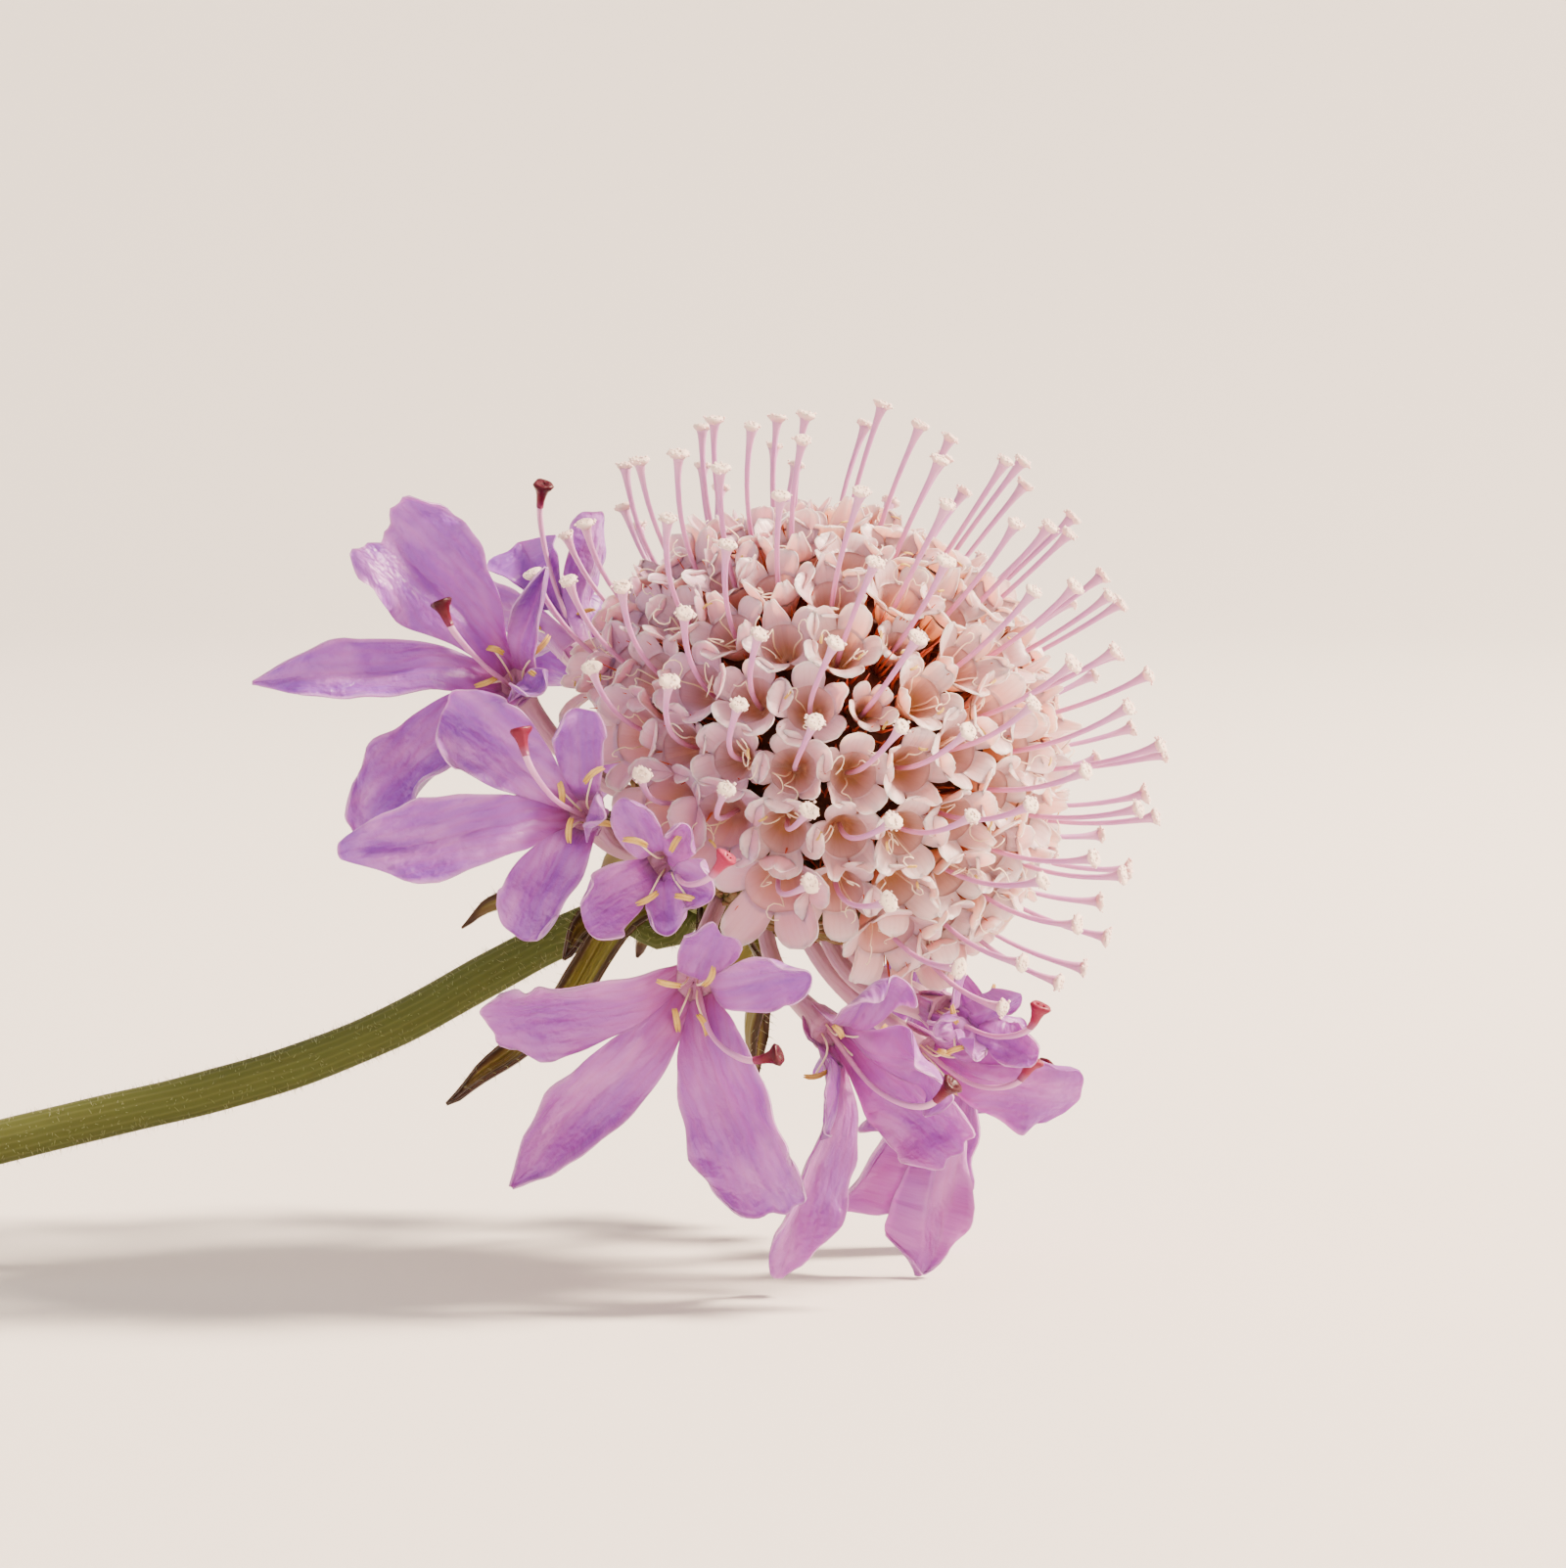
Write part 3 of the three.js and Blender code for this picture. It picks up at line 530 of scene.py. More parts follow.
def wet_crimson():
    """Ripe ray stigma: dark crimson glassy skin, rosier on some florets, browner and
    grainy on top."""
    finish, tree = new_finish("wet_crimson")
    place, along, part, _ = marks_of(tree)
    dark = node(tree, "ValToRGB", Fac=along, stops=[
        (0.0, "#6A1444"), (0.25, "#50021A"), (0.7, "#22010B"), (1.0, "#1C0208")])
    rosy = node(tree, "ValToRGB", Fac=along, stops=[
        (0.0, "#B878A4"), (0.25, "#A02C58"), (0.8, "#941646"), (1.0, "#A23A5A")])
    ripe = node(tree, "Mix", COLOURS, out=2, _0=part, _6=dark, _7=rosy)
    grains = mottled(tree, place, 5.0, 3.0)
    grained = tinted(tree, ripe, grains, 0.25, "#4A100E")
    shade(tree, grained, 0.34, grains, 0.04, 0.1, (1.0, 0.3, 0.3), 0.3, 0.0, 0.2)
    return finish


def bract_skin():
    """Olive bract: yellower down its middle, dark brown and papery along its rim and at
    its tip, with parallel veins and dull downy gloss."""
    finish, tree = new_finish("bract_skin")
    place, along, _, rim = marks_of(tree)
    base = node(tree, "ValToRGB", Fac=along, stops=[
        (0.0, "#5E7028"), (0.35, "#66681C"), (0.7, "#6E6420"), (1.0, "#4A2E12")])
    lines = veins(tree, place, 0.35, 0.15)
    lined = tinted(tree, base, lines, 0.3, "#8E8A3C")
    blotch = mottled(tree, place, 0.8, 3.0, 0.6, (1.0, 0.4, 1.0))
    brown = marked(tree, lined, blotch, [(0.45, 0.0), (0.75, 0.5)], "#4A2A12")
    edge = stacked(tree, (rim, 1.0), (blotch, 0.35))
    rimmed = marked(tree, brown, edge, [(0.8, 0.0), (1.0, 0.9)], "#35190C")
    height = stacked(tree, (lines, 0.7), (blotch, 0.3))
    rough = node(tree, "Math", TIMES_PLUS, _0=blotch, _1=0.2, _2=0.42)
    shade(tree, rimmed, rough, height, 0.08, 0.08, (0.6, 0.8, 0.3), 0.4, 0.1, 0.3)
    return finish


def stem_skin():
    """Green stalk: fine ribs run its length, yellower where light comes through, with dull
    olive flecks."""
    finish, tree = new_finish("stem_skin")
    place, along, _, _ = marks_of(tree)
    base = node(tree, "ValToRGB", Fac=along, stops=[
        (0.0, "#3F4E24"), (0.15, "#4A572B"), (0.55, "#545C30"), (1.0, "#545E34")])
    lines = veins(tree, place, 0.39, 0.08)
    fleck = mottled(tree, place, 1.6, 4.0, 0.65, (1.0, 0.25, 1.0))
    ribbed = tinted(tree, tinted(tree, base, fleck, 0.4, "#58522A"), lines, 0.09, "#9EA66E")
    height = stacked(tree, (lines, 0.4), (fleck, 0.4))
    rough = node(tree, "Math", TIMES_PLUS, _0=fleck, _1=0.25, _2=0.6)
    shade(tree, ribbed, rough, height, 0.04, 0.14, (0.7, 0.9, 0.3), 0.5, 0.03, 0.08)
    return finish


def plain_growth(name, stops, spot, grain, bump, rough, flesh=0.2, gloss=0.4, sheen=0.1,
                 spots=0.5):
    """A grown surface: colour runs along it, spotted and grained."""
    finish, tree = new_finish(name)
    place, along, part, _ = marks_of(tree)
    base = node(tree, "ValToRGB", Fac=along, stops=stops)
    grains = mottled(tree, place, grain, 3.0)
    toned = tinted(tree, base, grains, spots, spot)
    varied = tinted(tree, toned, part, 0.35, spot)
    roughness = node(tree, "Math", TIMES_PLUS, _0=grains, _1=0.25, _2=rough)
    shade(tree, varied, roughness, grains, bump, flesh, (1.0, 0.5, 0.6), 0.4, sheen, gloss)
    return finish


def make_finishes():
    """Every finish of the flower, by the growth that it is on."""
    return {
        "disc": disc_petal(),
        "ray": ray_petal(),
        # The receptacle's firm skin under the scales: olive below, red-brown between the cups.
        "core": plain_growth(
            "receptacle_skin", [(0.0, "#5C6430"), (0.2, "#5E5C2C"), (0.34, "#5A341E"),
                                (1.0, "#6A2A1E")],
            "#2A120C", 1.2, 0.2, 0.6, 0.0, 0.3, 0.0),
        # Stiff dry bristles, a little glossy.
        "bristle": plain_growth(
            "calyx_bristle", [(0.0, "#8A4420"), (0.5, "#C04424"), (1.0, "#A83220")],
            "#D06A38", 0.8, 0.02, 0.35, 0.05, 0.5, 0.0, 0.3),
        # Dull chaffy scales, browner at their tips.
        "scale": plain_growth(
            "receptacle_scale", [(0.0, "#4E5424"), (0.6, "#78783A"), (1.0, "#7A4A34")],
            "#7C6440", 1.5, 0.02, 0.5, 0.1, 0.4, 0.1, 0.4),
        # Watery lilac threads that light comes through.
        "style": plain_growth(
            "style_shaft", [(0.0, "#C98590"), (0.35, "#C488B4"), (0.8, "#B983BC"),
                            (1.0, "#CFA2C4")],
            "#AC70AE", 0.9, 0.01, 0.28, 0.45, 0.5, 0.05, 0.4),
        # Sticky cream grains, pinker where they leave the style.
        "cream": plain_growth(
            "stigma_grain", [(0.0, "#D4A8C2"), (0.45, "#E6CCCC"), (1.0, "#F8EAD6")],
            "#E6C2BA", 6.0, 0.03, 0.45, 0.35, 0.35, 0.1, 0.55),
        "crimson": wet_crimson(),
        # Pale, nearly clear filaments.
        "thread": plain_growth(
            "filament", [(0.0, "#E7C3A4"), (0.6, "#F3DCC6"), (1.0, "#F6E6CE")],
            "#E7B98C", 2.0, 0.005, 0.35, 0.4, 0.5, 0.0, 0.3),
        # Dusty ochre sacs of pollen.
        "anther": plain_growth(
            "pollen_sac", [(0.0, "#B8913E"), (0.5, "#D3B368"), (1.0, "#C4A052")],
            "#9C7430", 7.0, 0.04, 0.6, 0.15, 0.3, 0.1, 0.4),
        "bract": bract_skin(),
        "stem": stem_skin(),
        # Soft hairs, paler at their tips.
        "down": plain_growth(
            "downy_hair", [(0.0, "#7E8A48"), (1.0, "#B9BC8C")],
            "#9EA46C", 2.0, 0.002, 0.55, 0.3, 0.15, 0.0, 0.3),
    }


# Disc florets -----------------------------------------------------------------------------


def lathed(profile, sides, ridges=0.0):
    """Turns and rings of points round the head's axis. ridges is how far nine low ones stand
    out, as a share of the radius."""
    turns = np.linspace(0, 2 * math.pi, sides, endpoint=False)
    sheet = np.array([[(r * (1 + ridges * math.cos(9 * t)) * math.cos(t),
                        r * (1 + ridges * math.cos(9 * t)) * math.sin(t), h)
                       for t in turns[::-1]] for r, h in profile])
    return turns, placed(sheet)


def floret_ray(i):
    share = (i + 0.5) / DISC_COUNT
    high = 1 - share * (1 - math.cos(LAST_FLORET))
    across = math.sqrt(1 - high * high)
    turn = i * GOLDEN_ANGLE
    return np.array([across * math.cos(turn), across * math.sin(turn), high])


# Depth under the faces and radius of a cup, as shares of the floret's size.
CUP = [(-2.5, 0.08), (-2.38, 0.38), (-2.05, 0.64), (-1.65, 0.82), (-1.25, 0.98), (-0.88, 1.15),
       (-0.58, 1.32)]
CUP_RIM = 1.2  # where the lobes start, just above the cup's skin


def disc_corolla(growth, ray, side, spin, reach, number, droop, lilac):
    """A round cup whose rim parts in five oval lobes. droop makes the lobes that hang down
    longer, narrower and more waved."""
    other = np.cross(ray, side)
    size = reach / 2.0
    angle = np.linspace(0, 2 * math.pi, 18, endpoint=False) + math.radians(spin)
    around = spoke(side, other, angle)
    swell = (1 + 0.04 * np.cos(5 * (angle - math.radians(spin))))[:, None]
    cup = np.array([(DOME_RADIUS + h) * ray + r * size * swell * around for h, r in CUP])
    share = np.broadcast_to(np.linspace(0, 0.45, len(CUP))[:, None], cup.shape[:2])
    # lilac, here and on the lobes below, is painted shade on the cups of the head's left side,
    # with more on the lowest cups; a little random tone is mixed in.
    tint = 0.8 * lilac + 0.2 * draw(number, 11)
    growth.add_sheet(placed(cup)[:, ::-1], 0.14, np.broadcast_to(angle, share.shape), 4 * share,
                     share, tint, wrap=True, edge=0.15)
    s = np.linspace(0, 1, 7)[:, None]
    u = np.linspace(-1, 1, 7)[None, :]
    fifth = math.radians(36)
    for k in range(5):
        seed = number * 5 + k
        turn = math.radians(spin + 72 * k)
        way = spoke(side, other, turn)
        across_way = np.cross(ray, way)
        down = max(0.0, float(way @ square_to(-UP, ray)))
        hang = droop * down
        long = size * (2.08 * (1 + 0.06 * swing(seed, 5)) + 0.75 * hang)
        wide = size * (0.84 + 0.06 * swing(seed, 6)) * (1 - 0.16 * hang)
        folded = draw(seed, 9) > 0.86 + hang
        base_half = CUP_RIM * size * math.sin(fifth)
        half = wide * np.sqrt(np.clip(1 - ((s - 0.35) / 0.66) ** 2, 0.03, 1))
        half = np.where(s < 0.35, base_half + (wide - base_half) * smooth(0, 0.35, s), half)
        sag = CUP_RIM * size * (1 - np.cos(fifth * u)) * (1 - smooth(0, 0.7, s))
        y = CUP_RIM * size + (long - CUP_RIM * size) * s ** 1.1 - sag
        spread = 1.25 + 0.35 * swing(seed, 7)
        h = -0.68 + spread * s - 0.35 * s * s + 0.35 * swing(seed, 8) * s ** 3
        cup_depth = 0.22 + 0.15 * swing(seed, 10) + 0.3 * hang
        cupped = cup_depth * u * u * half * smooth(0, 0.5, s)
        x = half * u
        if folded:
            x = x * (1 - 0.55 * smooth(0.1, 0.6, s))
            cupped = 0.85 * np.abs(u) * half * smooth(0.1, 0.6, s)
            h = h + 0.5 * s * s
            y = y - 0.25 * size * s * s
        h = h + cupped + (0.05 + 0.12 * hang) * np.sin(4 * u + seed) * s
        sheet = ((DOME_RADIUS + h)[..., None] * ray + y[..., None] * way
                 + x[..., None] * across_way)
        rim = np.maximum(np.abs(u) * smooth(0.2, 0.7, s), smooth(0.8, 1, s) + 0 * u)
        growth.add_sheet(
            placed(sheet), 0.15, x + 7 * draw(seed, 12), 3 * s + 0 * x, 0.45 + 0.55 * s + 0 * x,
            0.8 * lilac + 0.1 * draw(number, 11) + 0.1 * draw(seed, 4), rim=rim)


def disc_thread(threads, anthers, ray, side, number):
    """Thin filaments that curl out of the cup, some with their anther."""
    other = np.cross(ray, side)
    for k in range(3):
        seed = number * 3 + k
        if draw(seed, 20) < 0.3:
            continue
        turn = 2 * math.pi * draw(seed, 21)
        way = spoke(side, other, turn)
        bend = np.cross(ray, way) * (1 if draw(seed, 28) < 0.5 else -1)
        middle = ray * (DOME_RADIUS - 0.25 + 0.8 * draw(seed, 22)) + way * (
            0.8 + 0.5 * draw(seed, 29))
        loop = 0.3 + 0.3 * draw(seed, 23)
        tall = unit(0.8 * ray + 0.6 * way)
        start = -2.2 + 0.5 * swing(seed, 27)
        curl = [middle + loop * (math.cos(t) * bend + math.sin(t) * tall)
                for t in np.linspace(start, start + 2.2 + 3.2 * draw(seed, 32), 6)]
        stops = [ray * (DOME_RADIUS - 2.2) + way * 0.3,
                 ray * (DOME_RADIUS - 1.2) + way * 0.55] + curl
        line = through(stops, 15)
        threads.add_limb(placed(line), np.linspace(0.05, 0.03, 15), 4, draw(seed, 24))
        if draw(seed, 25) < 0.35:
            add_anther(anthers, placed(line[-1]), bend @ HEAD.T, ray @ HEAD.T, 0.55, seed)


def add_anther(anthers, middle, way, up, length, seed):
    """Two plump ochre sacs side by side, a groove between them."""
    way = unit(way)
    across = unit(np.cross(way, up))
    bow = (0.12 * up + 0.3 * swing(seed, 31) * across) * length
    for hand in (-1, 1):
        offset = across * hand * 0.055 * length
        ends = [middle + offset + way * length * t - bow * (t * t * 2)
                for t in (-0.5, -0.42, -0.2, 0.05, 0.3, 0.5)]
        anthers.add_limb(ends, length * np.array([0.03, 0.06, 0.075, 0.08, 0.07, 0.03]), 6,
                         draw(seed, 30))


def pin(shafts, stigmas, ray, i):
    """A style that bends to the crown and the light, and its grainy cream stigma."""
    near = max(0.0, float(ray @ (-HEAD[1])))
    high = float(ray @ HEAD[2])
    lift = PIN_LIFT * near * max(0.0, high + PIN_SHADE)
    lean = unit(ray * (1 - PIN_FOLD * near) + UP * CROWN_PULL * (1 + 0.25 * swing(i, 3))
                + HEAD[2] * lift)
    rise = PIN_RISE * (1 + 0.13 * swing(i, 4))
    knee = ray * (DOME_RADIUS + 1.6)
    tip = knee + lean * (rise - 0.6)
    base = ray * (DOME_RADIUS - 2.4)
    share = np.concatenate([np.linspace(0, 0.82, 9), [0.88, 0.93, 0.965, 0.99]])[:, None]
    line = (1 - share) ** 2 * base + 2 * share * (1 - share) * knee + share ** 2 * tip
    side = square_to(np.array([0.3, 0.8, 0.1]), lean)
    line = line + side * 0.22 * swing(i, 13) * np.sin(share * math.pi)
    radius = np.array([0.13] * 6 + [0.135, 0.145, 0.155, 0.18, 0.22, 0.27, 0.34])
    shafts.add_limb(placed(line), radius, 8, draw(i, 14))
    stigma(stigmas, placed(tip), HEAD @ lean, 0.46 * (1 + 0.12 * swing(i, 15)), i)


def stigma(growth, tip, way, radius, number):
    """A flat-topped knob with grains crowded on its rim and top."""
    side = square_to(np.array([0.2, 0.5, 0.84]), way)
    other = np.cross(way, side)
    angle = np.linspace(0, 2 * math.pi, 12, endpoint=False)
    wave = 1 + 0.13 * np.cos(2 * angle + number) + 0.07 * np.cos(5 * angle + 2 * number)
    ring = spoke(side, other, angle) * wave[:, None]
    levels = ((0.55, -0.2, 0.0), (0.88, -0.06, 0.3), (1.0, 0.06, 0.6), (0.9, 0.17, 0.9),
              (0.5, 0.18, 1.0))
    rings = [tip + ring * radius * r + way * h for r, h, share in levels]
    points = np.vstack(rings + [tip - way * 0.2, tip + way * 0.14])
    faces = []
    for j in range(len(levels) - 1):
        for k in range(12):
            n = (k + 1) % 12
            faces.append([12 * j + k, 12 * j + n, 12 * j + 12 + n, 12 * j + 12 + k])
    last = 12 * (len(levels) - 1)
    faces += [[last + 12, (k + 1) % 12, k] for k in range(12)]
    faces += [[last + 13, last + k, last + (k + 1) % 12] for k in range(12)]
    share = np.append(np.repeat([level[2] for level in levels], 12), [0, 1])
    growth.add(points, faces, np.append(np.tile(angle, len(levels)), [0, 0]), share, share,
               draw(number, 16))
    for k in range(14):
        seed = number * 31 + k
        turn = 2 * math.pi * (k + 0.6 * draw(seed, 17)) / 14
        grain = tip + spoke(side, other, turn) * radius * (
            0.96 + 0.16 * swing(seed, 18)) + way * (0.07 + 0.12 * swing(seed, 33))
        add_bead(growth, grain, 0.055 + 0.05 * draw(seed, 19), draw(seed, 34))
    for k in range(7):
        seed = number * 37 + k
        turn = 2 * math.pi * (k + draw(seed, 17)) / 7
        grain = tip + spoke(side, other, turn) * radius * (
            0.25 + 0.5 * draw(seed, 18)) + way * 0.17
        add_bead(growth, grain, 0.06 + 0.05 * draw(seed, 19), draw(seed, 34))


def head_core():
    """The red-brown receptacle that shows in the gaps."""
    growth = Growth()
    angles = np.linspace(math.radians(112), 0.02, 15)
    profile = [(0.05, CORE_BASE), (4.4, CORE_BASE)] + [
        (CORE_RADIUS * math.sin(a), CORE_RADIUS * math.cos(a)) for a in angles]
    turns, sheet = lathed(profile, 40)
    around = np.broadcast_to(turns * 6, sheet.shape[:2])
    up = np.broadcast_to(np.arange(len(profile))[:, None] * 1.4, sheet.shape[:2])
    growth.add_sheet(sheet, 0.5, around, up, up / up.max(), 0.5, wrap=True, edge=1)
    return growth


def bristles():
    """Stiff red-brown calyx bristles between the cups, more of them round the late ones."""
    growth = Growth()
    for i in range(DISC_COUNT):
        ray = floret_ray(i)
        side = square_to(np.array([0.4, 0.3, 0.86]), ray)
        other = np.cross(ray, side)
        spare = 1 + EDGE_GROWTH * float(smooth(EDGE_START, 1, i / DISC_COUNT))
        late = i in LATE_FLORETS
        count = LATE_BRISTLES if late else BRISTLES
        for k in range(count):
            seed = i * LATE_BRISTLES + k
            turn = 2 * math.pi * (k + 0.6 * draw(seed, 40)) / count
            way = spoke(side, other, turn)
            root = ray * (CORE_RADIUS - 0.3) + way * 0.5
            wide = 0.9 + 1.0 * draw(seed, 42) if late else spare * (1.6 + 0.3 * draw(seed, 42))
            tip = ray * (DOME_RADIUS - 0.9 + (1.5 if late else 1.1) * draw(seed, 41)) + way * wide
            middle = (root + tip) / 2 + way * 0.25
            growth.add_limb(placed(np.array([root, middle, tip])), [0.11, 0.08, 0.02], 4,
                            draw(seed, 43))
    return growth


def scales():
    """Narrow olive scales crowded on the receptacle's skirt, pointing up to the florets."""
    growth = Growth()
    rim_at, foot_at = np.array([8.9, -3.6]), np.array([4.3, CORE_BASE + 0.1])
    for k in range(SKIRT_SCALES):
        turn = 2 * math.pi * draw(k, 45)
        out = np.array([math.cos(turn), math.sin(turn), 0])
        side = np.cross(UP, out)
        down = draw(k, 44) ** 0.8 * 1.15 - 0.15
        across, high = rim_at + (foot_at - rim_at) * max(down, 0.0)
        if down < 0:
            angle = math.radians(112 + 60 * down)
            across, high = CORE_RADIUS * math.sin(angle), CORE_RADIUS * math.cos(angle)
        root = out * (across - 0.2) + UP * high
        slope = unit(out * 0.75 + UP * 0.65)
        way = unit(slope + (out * 0.7 - UP * 0.7) * 0.35 + 0.4 * side * swing(k, 47))
        long = (1.5 + 1.3 * draw(k, 48)) * float(smooth(-0.5, 0.4, down))
        line = np.array([root, root + way * 0.35 * long, root + way * 0.75 * long,
                         root + way * long + UP * 0.15])
        growth.add_limb(placed(line), [0.2, 0.26, 0.17, 0.03], 5, draw(k, 49))
    return growth


def disc_head(finishes):
    petals, shafts, stigmas = Growth(), Growth(), Growth()
    threads, anthers = Growth(), Growth()
    for i in range(DISC_COUNT):
        ray = floret_ray(i)
        side = np.cross(square_to(UP, ray), ray)
        edge = float(smooth(EDGE_START, 1, i / DISC_COUNT))
        reach = DISC_REACH * (1 + EDGE_GROWTH * edge + 0.05 * swing(i, 2))
        if i in LATE_FLORETS:
            reach *= LATE_SIZE
        # Cups turned to the head's left, away from the key lamp, get a lilac tint as painted
        # shade; the lowest cups get more of it.
        lilac = float(smooth(0.5, -0.8, (HEAD @ ray)[0] + 0.2 * swing(i, 35)))
        lilac = min(1.0, lilac + 0.3 * edge)
        disc_corolla(petals, ray, side, 360 * draw(i, 1), reach, i, EDGE_DROOP * edge, lilac)
        disc_thread(threads, anthers, ray, side, i)
        if draw(i, 26) < PIN_SHARE:
            pin(shafts, stigmas, ray, i)
    petals.piece("disc_corollas", finishes["disc"], "disc_pink", "disc_head")
    head_core().piece("receptacle", finishes["core"], "bristle_red", "disc_head")
    bristles().piece("calyx_bristles", finishes["bristle"], "bristle_red", "disc_head")
    scales().piece("receptacle_scales", finishes["scale"], "bract_olive", "disc_head")
    shafts.piece("disc_styles", finishes["style"], "style_lilac", "disc_head")
    stigmas.piece("disc_stigmas", finishes["cream"], "stigma_cream", "disc_head")
    threads.piece("disc_filaments", finishes["thread"], "stigma_cream", "disc_head")
    anthers.piece("disc_anthers", finishes["anther"], "anther_ochre", "disc_head")


# Ray florets ------------------------------------------------------------------------------

LOBE_SHARES = [0, 0.15, 0.3, 0.45, 0.62, 0.8, 0.92, 1]
ROUND_HALVES = [0.66, 0.68, 0.76, 0.9, 1, 0.99, 0.9, 0.74]
POINTED_HALVES = [0.66, 0.68, 0.78, 0.94, 0.98, 0.68, 0.34, 0.06]


def lobe_sheet(throat, face, lobe, gaps, seed):
    """One waved lobe: rows of points from inside the throat to its tip. gaps are the angles
    to its neighbours, whose edges it shares up to the cleft between them."""
    way, reach, width, fold, curl, tip = lobe
    rows, cols = (38, 19) if reach > 7 else (24, 13)
    away = square_to(way, face)
    line = through([
        throat - face * 2.2 + away * 0.5, throat - face * 0.7 + away * 0.85,
        throat + way * 0.25 * reach + face * 0.10 * reach,
        throat + way * 0.5 * reach + face * 0.085 * reach,
        throat + way * 0.78 * reach + face * 0.05 * reach, throat + way * reach], rows)
    run = run_of(line)
    v = run / run[-1]
    start = 2.0 / run[-1]
    s = np.clip((v - start) / (1 - start), 0, 1)[:, None]
    u = np.linspace(-1, 1, cols)[None, :]
    tangent = unit(np.gradient(line, axis=0))
    normal = square_to(np.broadcast_to(face, line.shape), tangent)
    across = np.cross(tangent, normal)
    from_axis = line - throat
    from_axis = np.linalg.norm(from_axis - np.outer(from_axis @ face, face), axis=1)[:, None]
    pointed, square = max(tip, 0.0), max(-tip, 0.0)
    outline = (np.interp(s, LOBE_SHARES, ROUND_HALVES) * (1 - pointed)
               + np.interp(s, LOBE_SHARES, POINTED_HALVES) * pointed) * width / 2
    wedges = [from_axis * math.tan(gap / 2) for gap in gaps]
    sides = [(outline ** -5 + wedge ** -5) ** -0.2 for wedge in wedges]
    half = np.where(u > 0, sides[0], sides[1])
    grow = smooth(0.1, 0.75, s)
    y = np.broadcast_to(run[:, None], half.shape)
    hand = np.sign(u)
    edge_wave = crumple(0 * y, y + 40 * hand, 3 * seed, 1.6, 4.0)
    x = half * u * (1 - 0.22 * fold * grow) * (1 + 0.07 * edge_wave * grow)
    lift = (0.12 + 0.9 * fold) * half * np.abs(u) ** 1.5 * grow
    lift -= 0.1 * half * np.exp(-(u / 0.18) ** 2) * smooth(0.05, 0.3, s) * (1 - s ** 3)
    size = min(1.0, width / 4.5)
    lift += 0.2 * size * crumple(x, y, 3 * seed + 1, 2.2, 5.5, 0.7) * grow
    lift += 0.07 * size * crumple(x, y, 3 * seed + 2, 1.0, 2.2, 0.8) * grow
    ruffle = crumple(0 * y, y + 20 * hand, 3 * seed + 5, 2.0, 4.5)
    lift += 0.42 * size * ruffle * np.abs(u) ** 3 * grow
    roll = np.where(u > 0, max(0.0, swing(seed, 57)), max(0.0, swing(seed, 58)))
    rolled = roll * (1 - square) * half * smooth(0.55, 1, np.abs(u)) * smooth(0.3, 0.65, s)
    lift += 0.42 * rolled
    x = x - 0.3 * rolled * hand
    lift += curl * 0.32 * reach * smooth(0.5, 1.0, s) ** 2
    round_end = half * (1 - np.sqrt(1 - 0.97 * u * u)) * smooth(0.6, 1, s)
    ragged = (0.16 + 0.2 * square) * size * crumple(x, 0 * y, 3 * seed + 4, 0.9, 2.4)
    back = round_end * (1 - 0.65 * square) * (1 - 0.6 * pointed) + ragged * smooth(0.8, 1, s)
    back += abs(curl) * 0.12 * reach * smooth(0.6, 1, s) ** 2
    hook = 0.05 * reach * swing(seed, 59) * smooth(0.5, 1, s) ** 2
    twist = math.radians(20) * swing(seed, 56) * (1 - 0.7 * square) * smooth(0.3, 1, s)
    x, lift = (x * np.cos(twist) - lift * np.sin(twist) + hook,
               x * np.sin(twist) + lift * np.cos(twist))
    points = (line[:, None] + across[:, None] * x[..., None] + normal[:, None] * lift[..., None]
              - tangent[:, None] * back[..., None])
    wedge_side = np.where(u > 0, wedges[0], wedges[1])
    joined = smooth(1.0, 0.62, wedge_side / outline)
    rim = np.maximum(np.abs(u) + 0 * s, smooth(0.9, 1, s) + 0 * u) * (1 - joined)
    share = np.broadcast_to(0.06 + 0.94 * v[:, None], x.shape)
    return dict(points=points, joined=joined, run=run, marks=(x + 9 * draw(seed, 52), y, share),
                rim=rim)


def join_edges(one, other):
    """Brings the last edge of one lobe and the first edge of another together, as far as
    the cleft between them."""
    edges = [one["points"][:, -1], other["points"][:, 0]]
    moves = []
    for near, far, edge, across in ((one, other, 0, -1), (other, one, 1, 0)):
        met = np.stack([np.interp(near["run"], far["run"], edges[1 - edge][:, k])
                        for k in range(3)], 1)
        moves.append((met - edges[edge]) / 2 * near["joined"][:, across][:, None])
    for lobe, move, hand in ((one, moves[0], 1), (other, moves[1], -1)):
        u = np.linspace(-1, 1, lobe["points"].shape[1]) * hand
        weight = np.clip(u, 0, 1) ** 2
        lobe["points"] = lobe["points"] + move[:, None] * weight[None, :, None]


def corolla_lobes(throat, face, lobes, number):
    """The five lobes of a ray floret, joined round the throat."""
    east = square_to(np.array([0.31, 0.93, 0.2]), face)
    north = np.cross(face, east)
    clocks = [math.atan2(float(lobe[0] @ north), float(lobe[0] @ east)) for lobe in lobes]
    order = sorted(range(len(lobes)), key=lambda k: clocks[k])
    made = {}
    for place, k in enumerate(order):
        before, after = order[place - 1], order[(place + 1) % len(order)]
        gaps = [min((clocks[a] - clocks[b]) % (2 * math.pi), 1.75)
                for a, b in ((k, before), (after, k))]
        made[k] = lobe_sheet(throat, face, lobes[k], gaps, 10 * number + k)
    for place, k in enumerate(order):
        before = order[place - 1]
        if (clocks[k] - clocks[before]) % (2 * math.pi) < 2.2:
            join_edges(made[k], made[before])
    return made


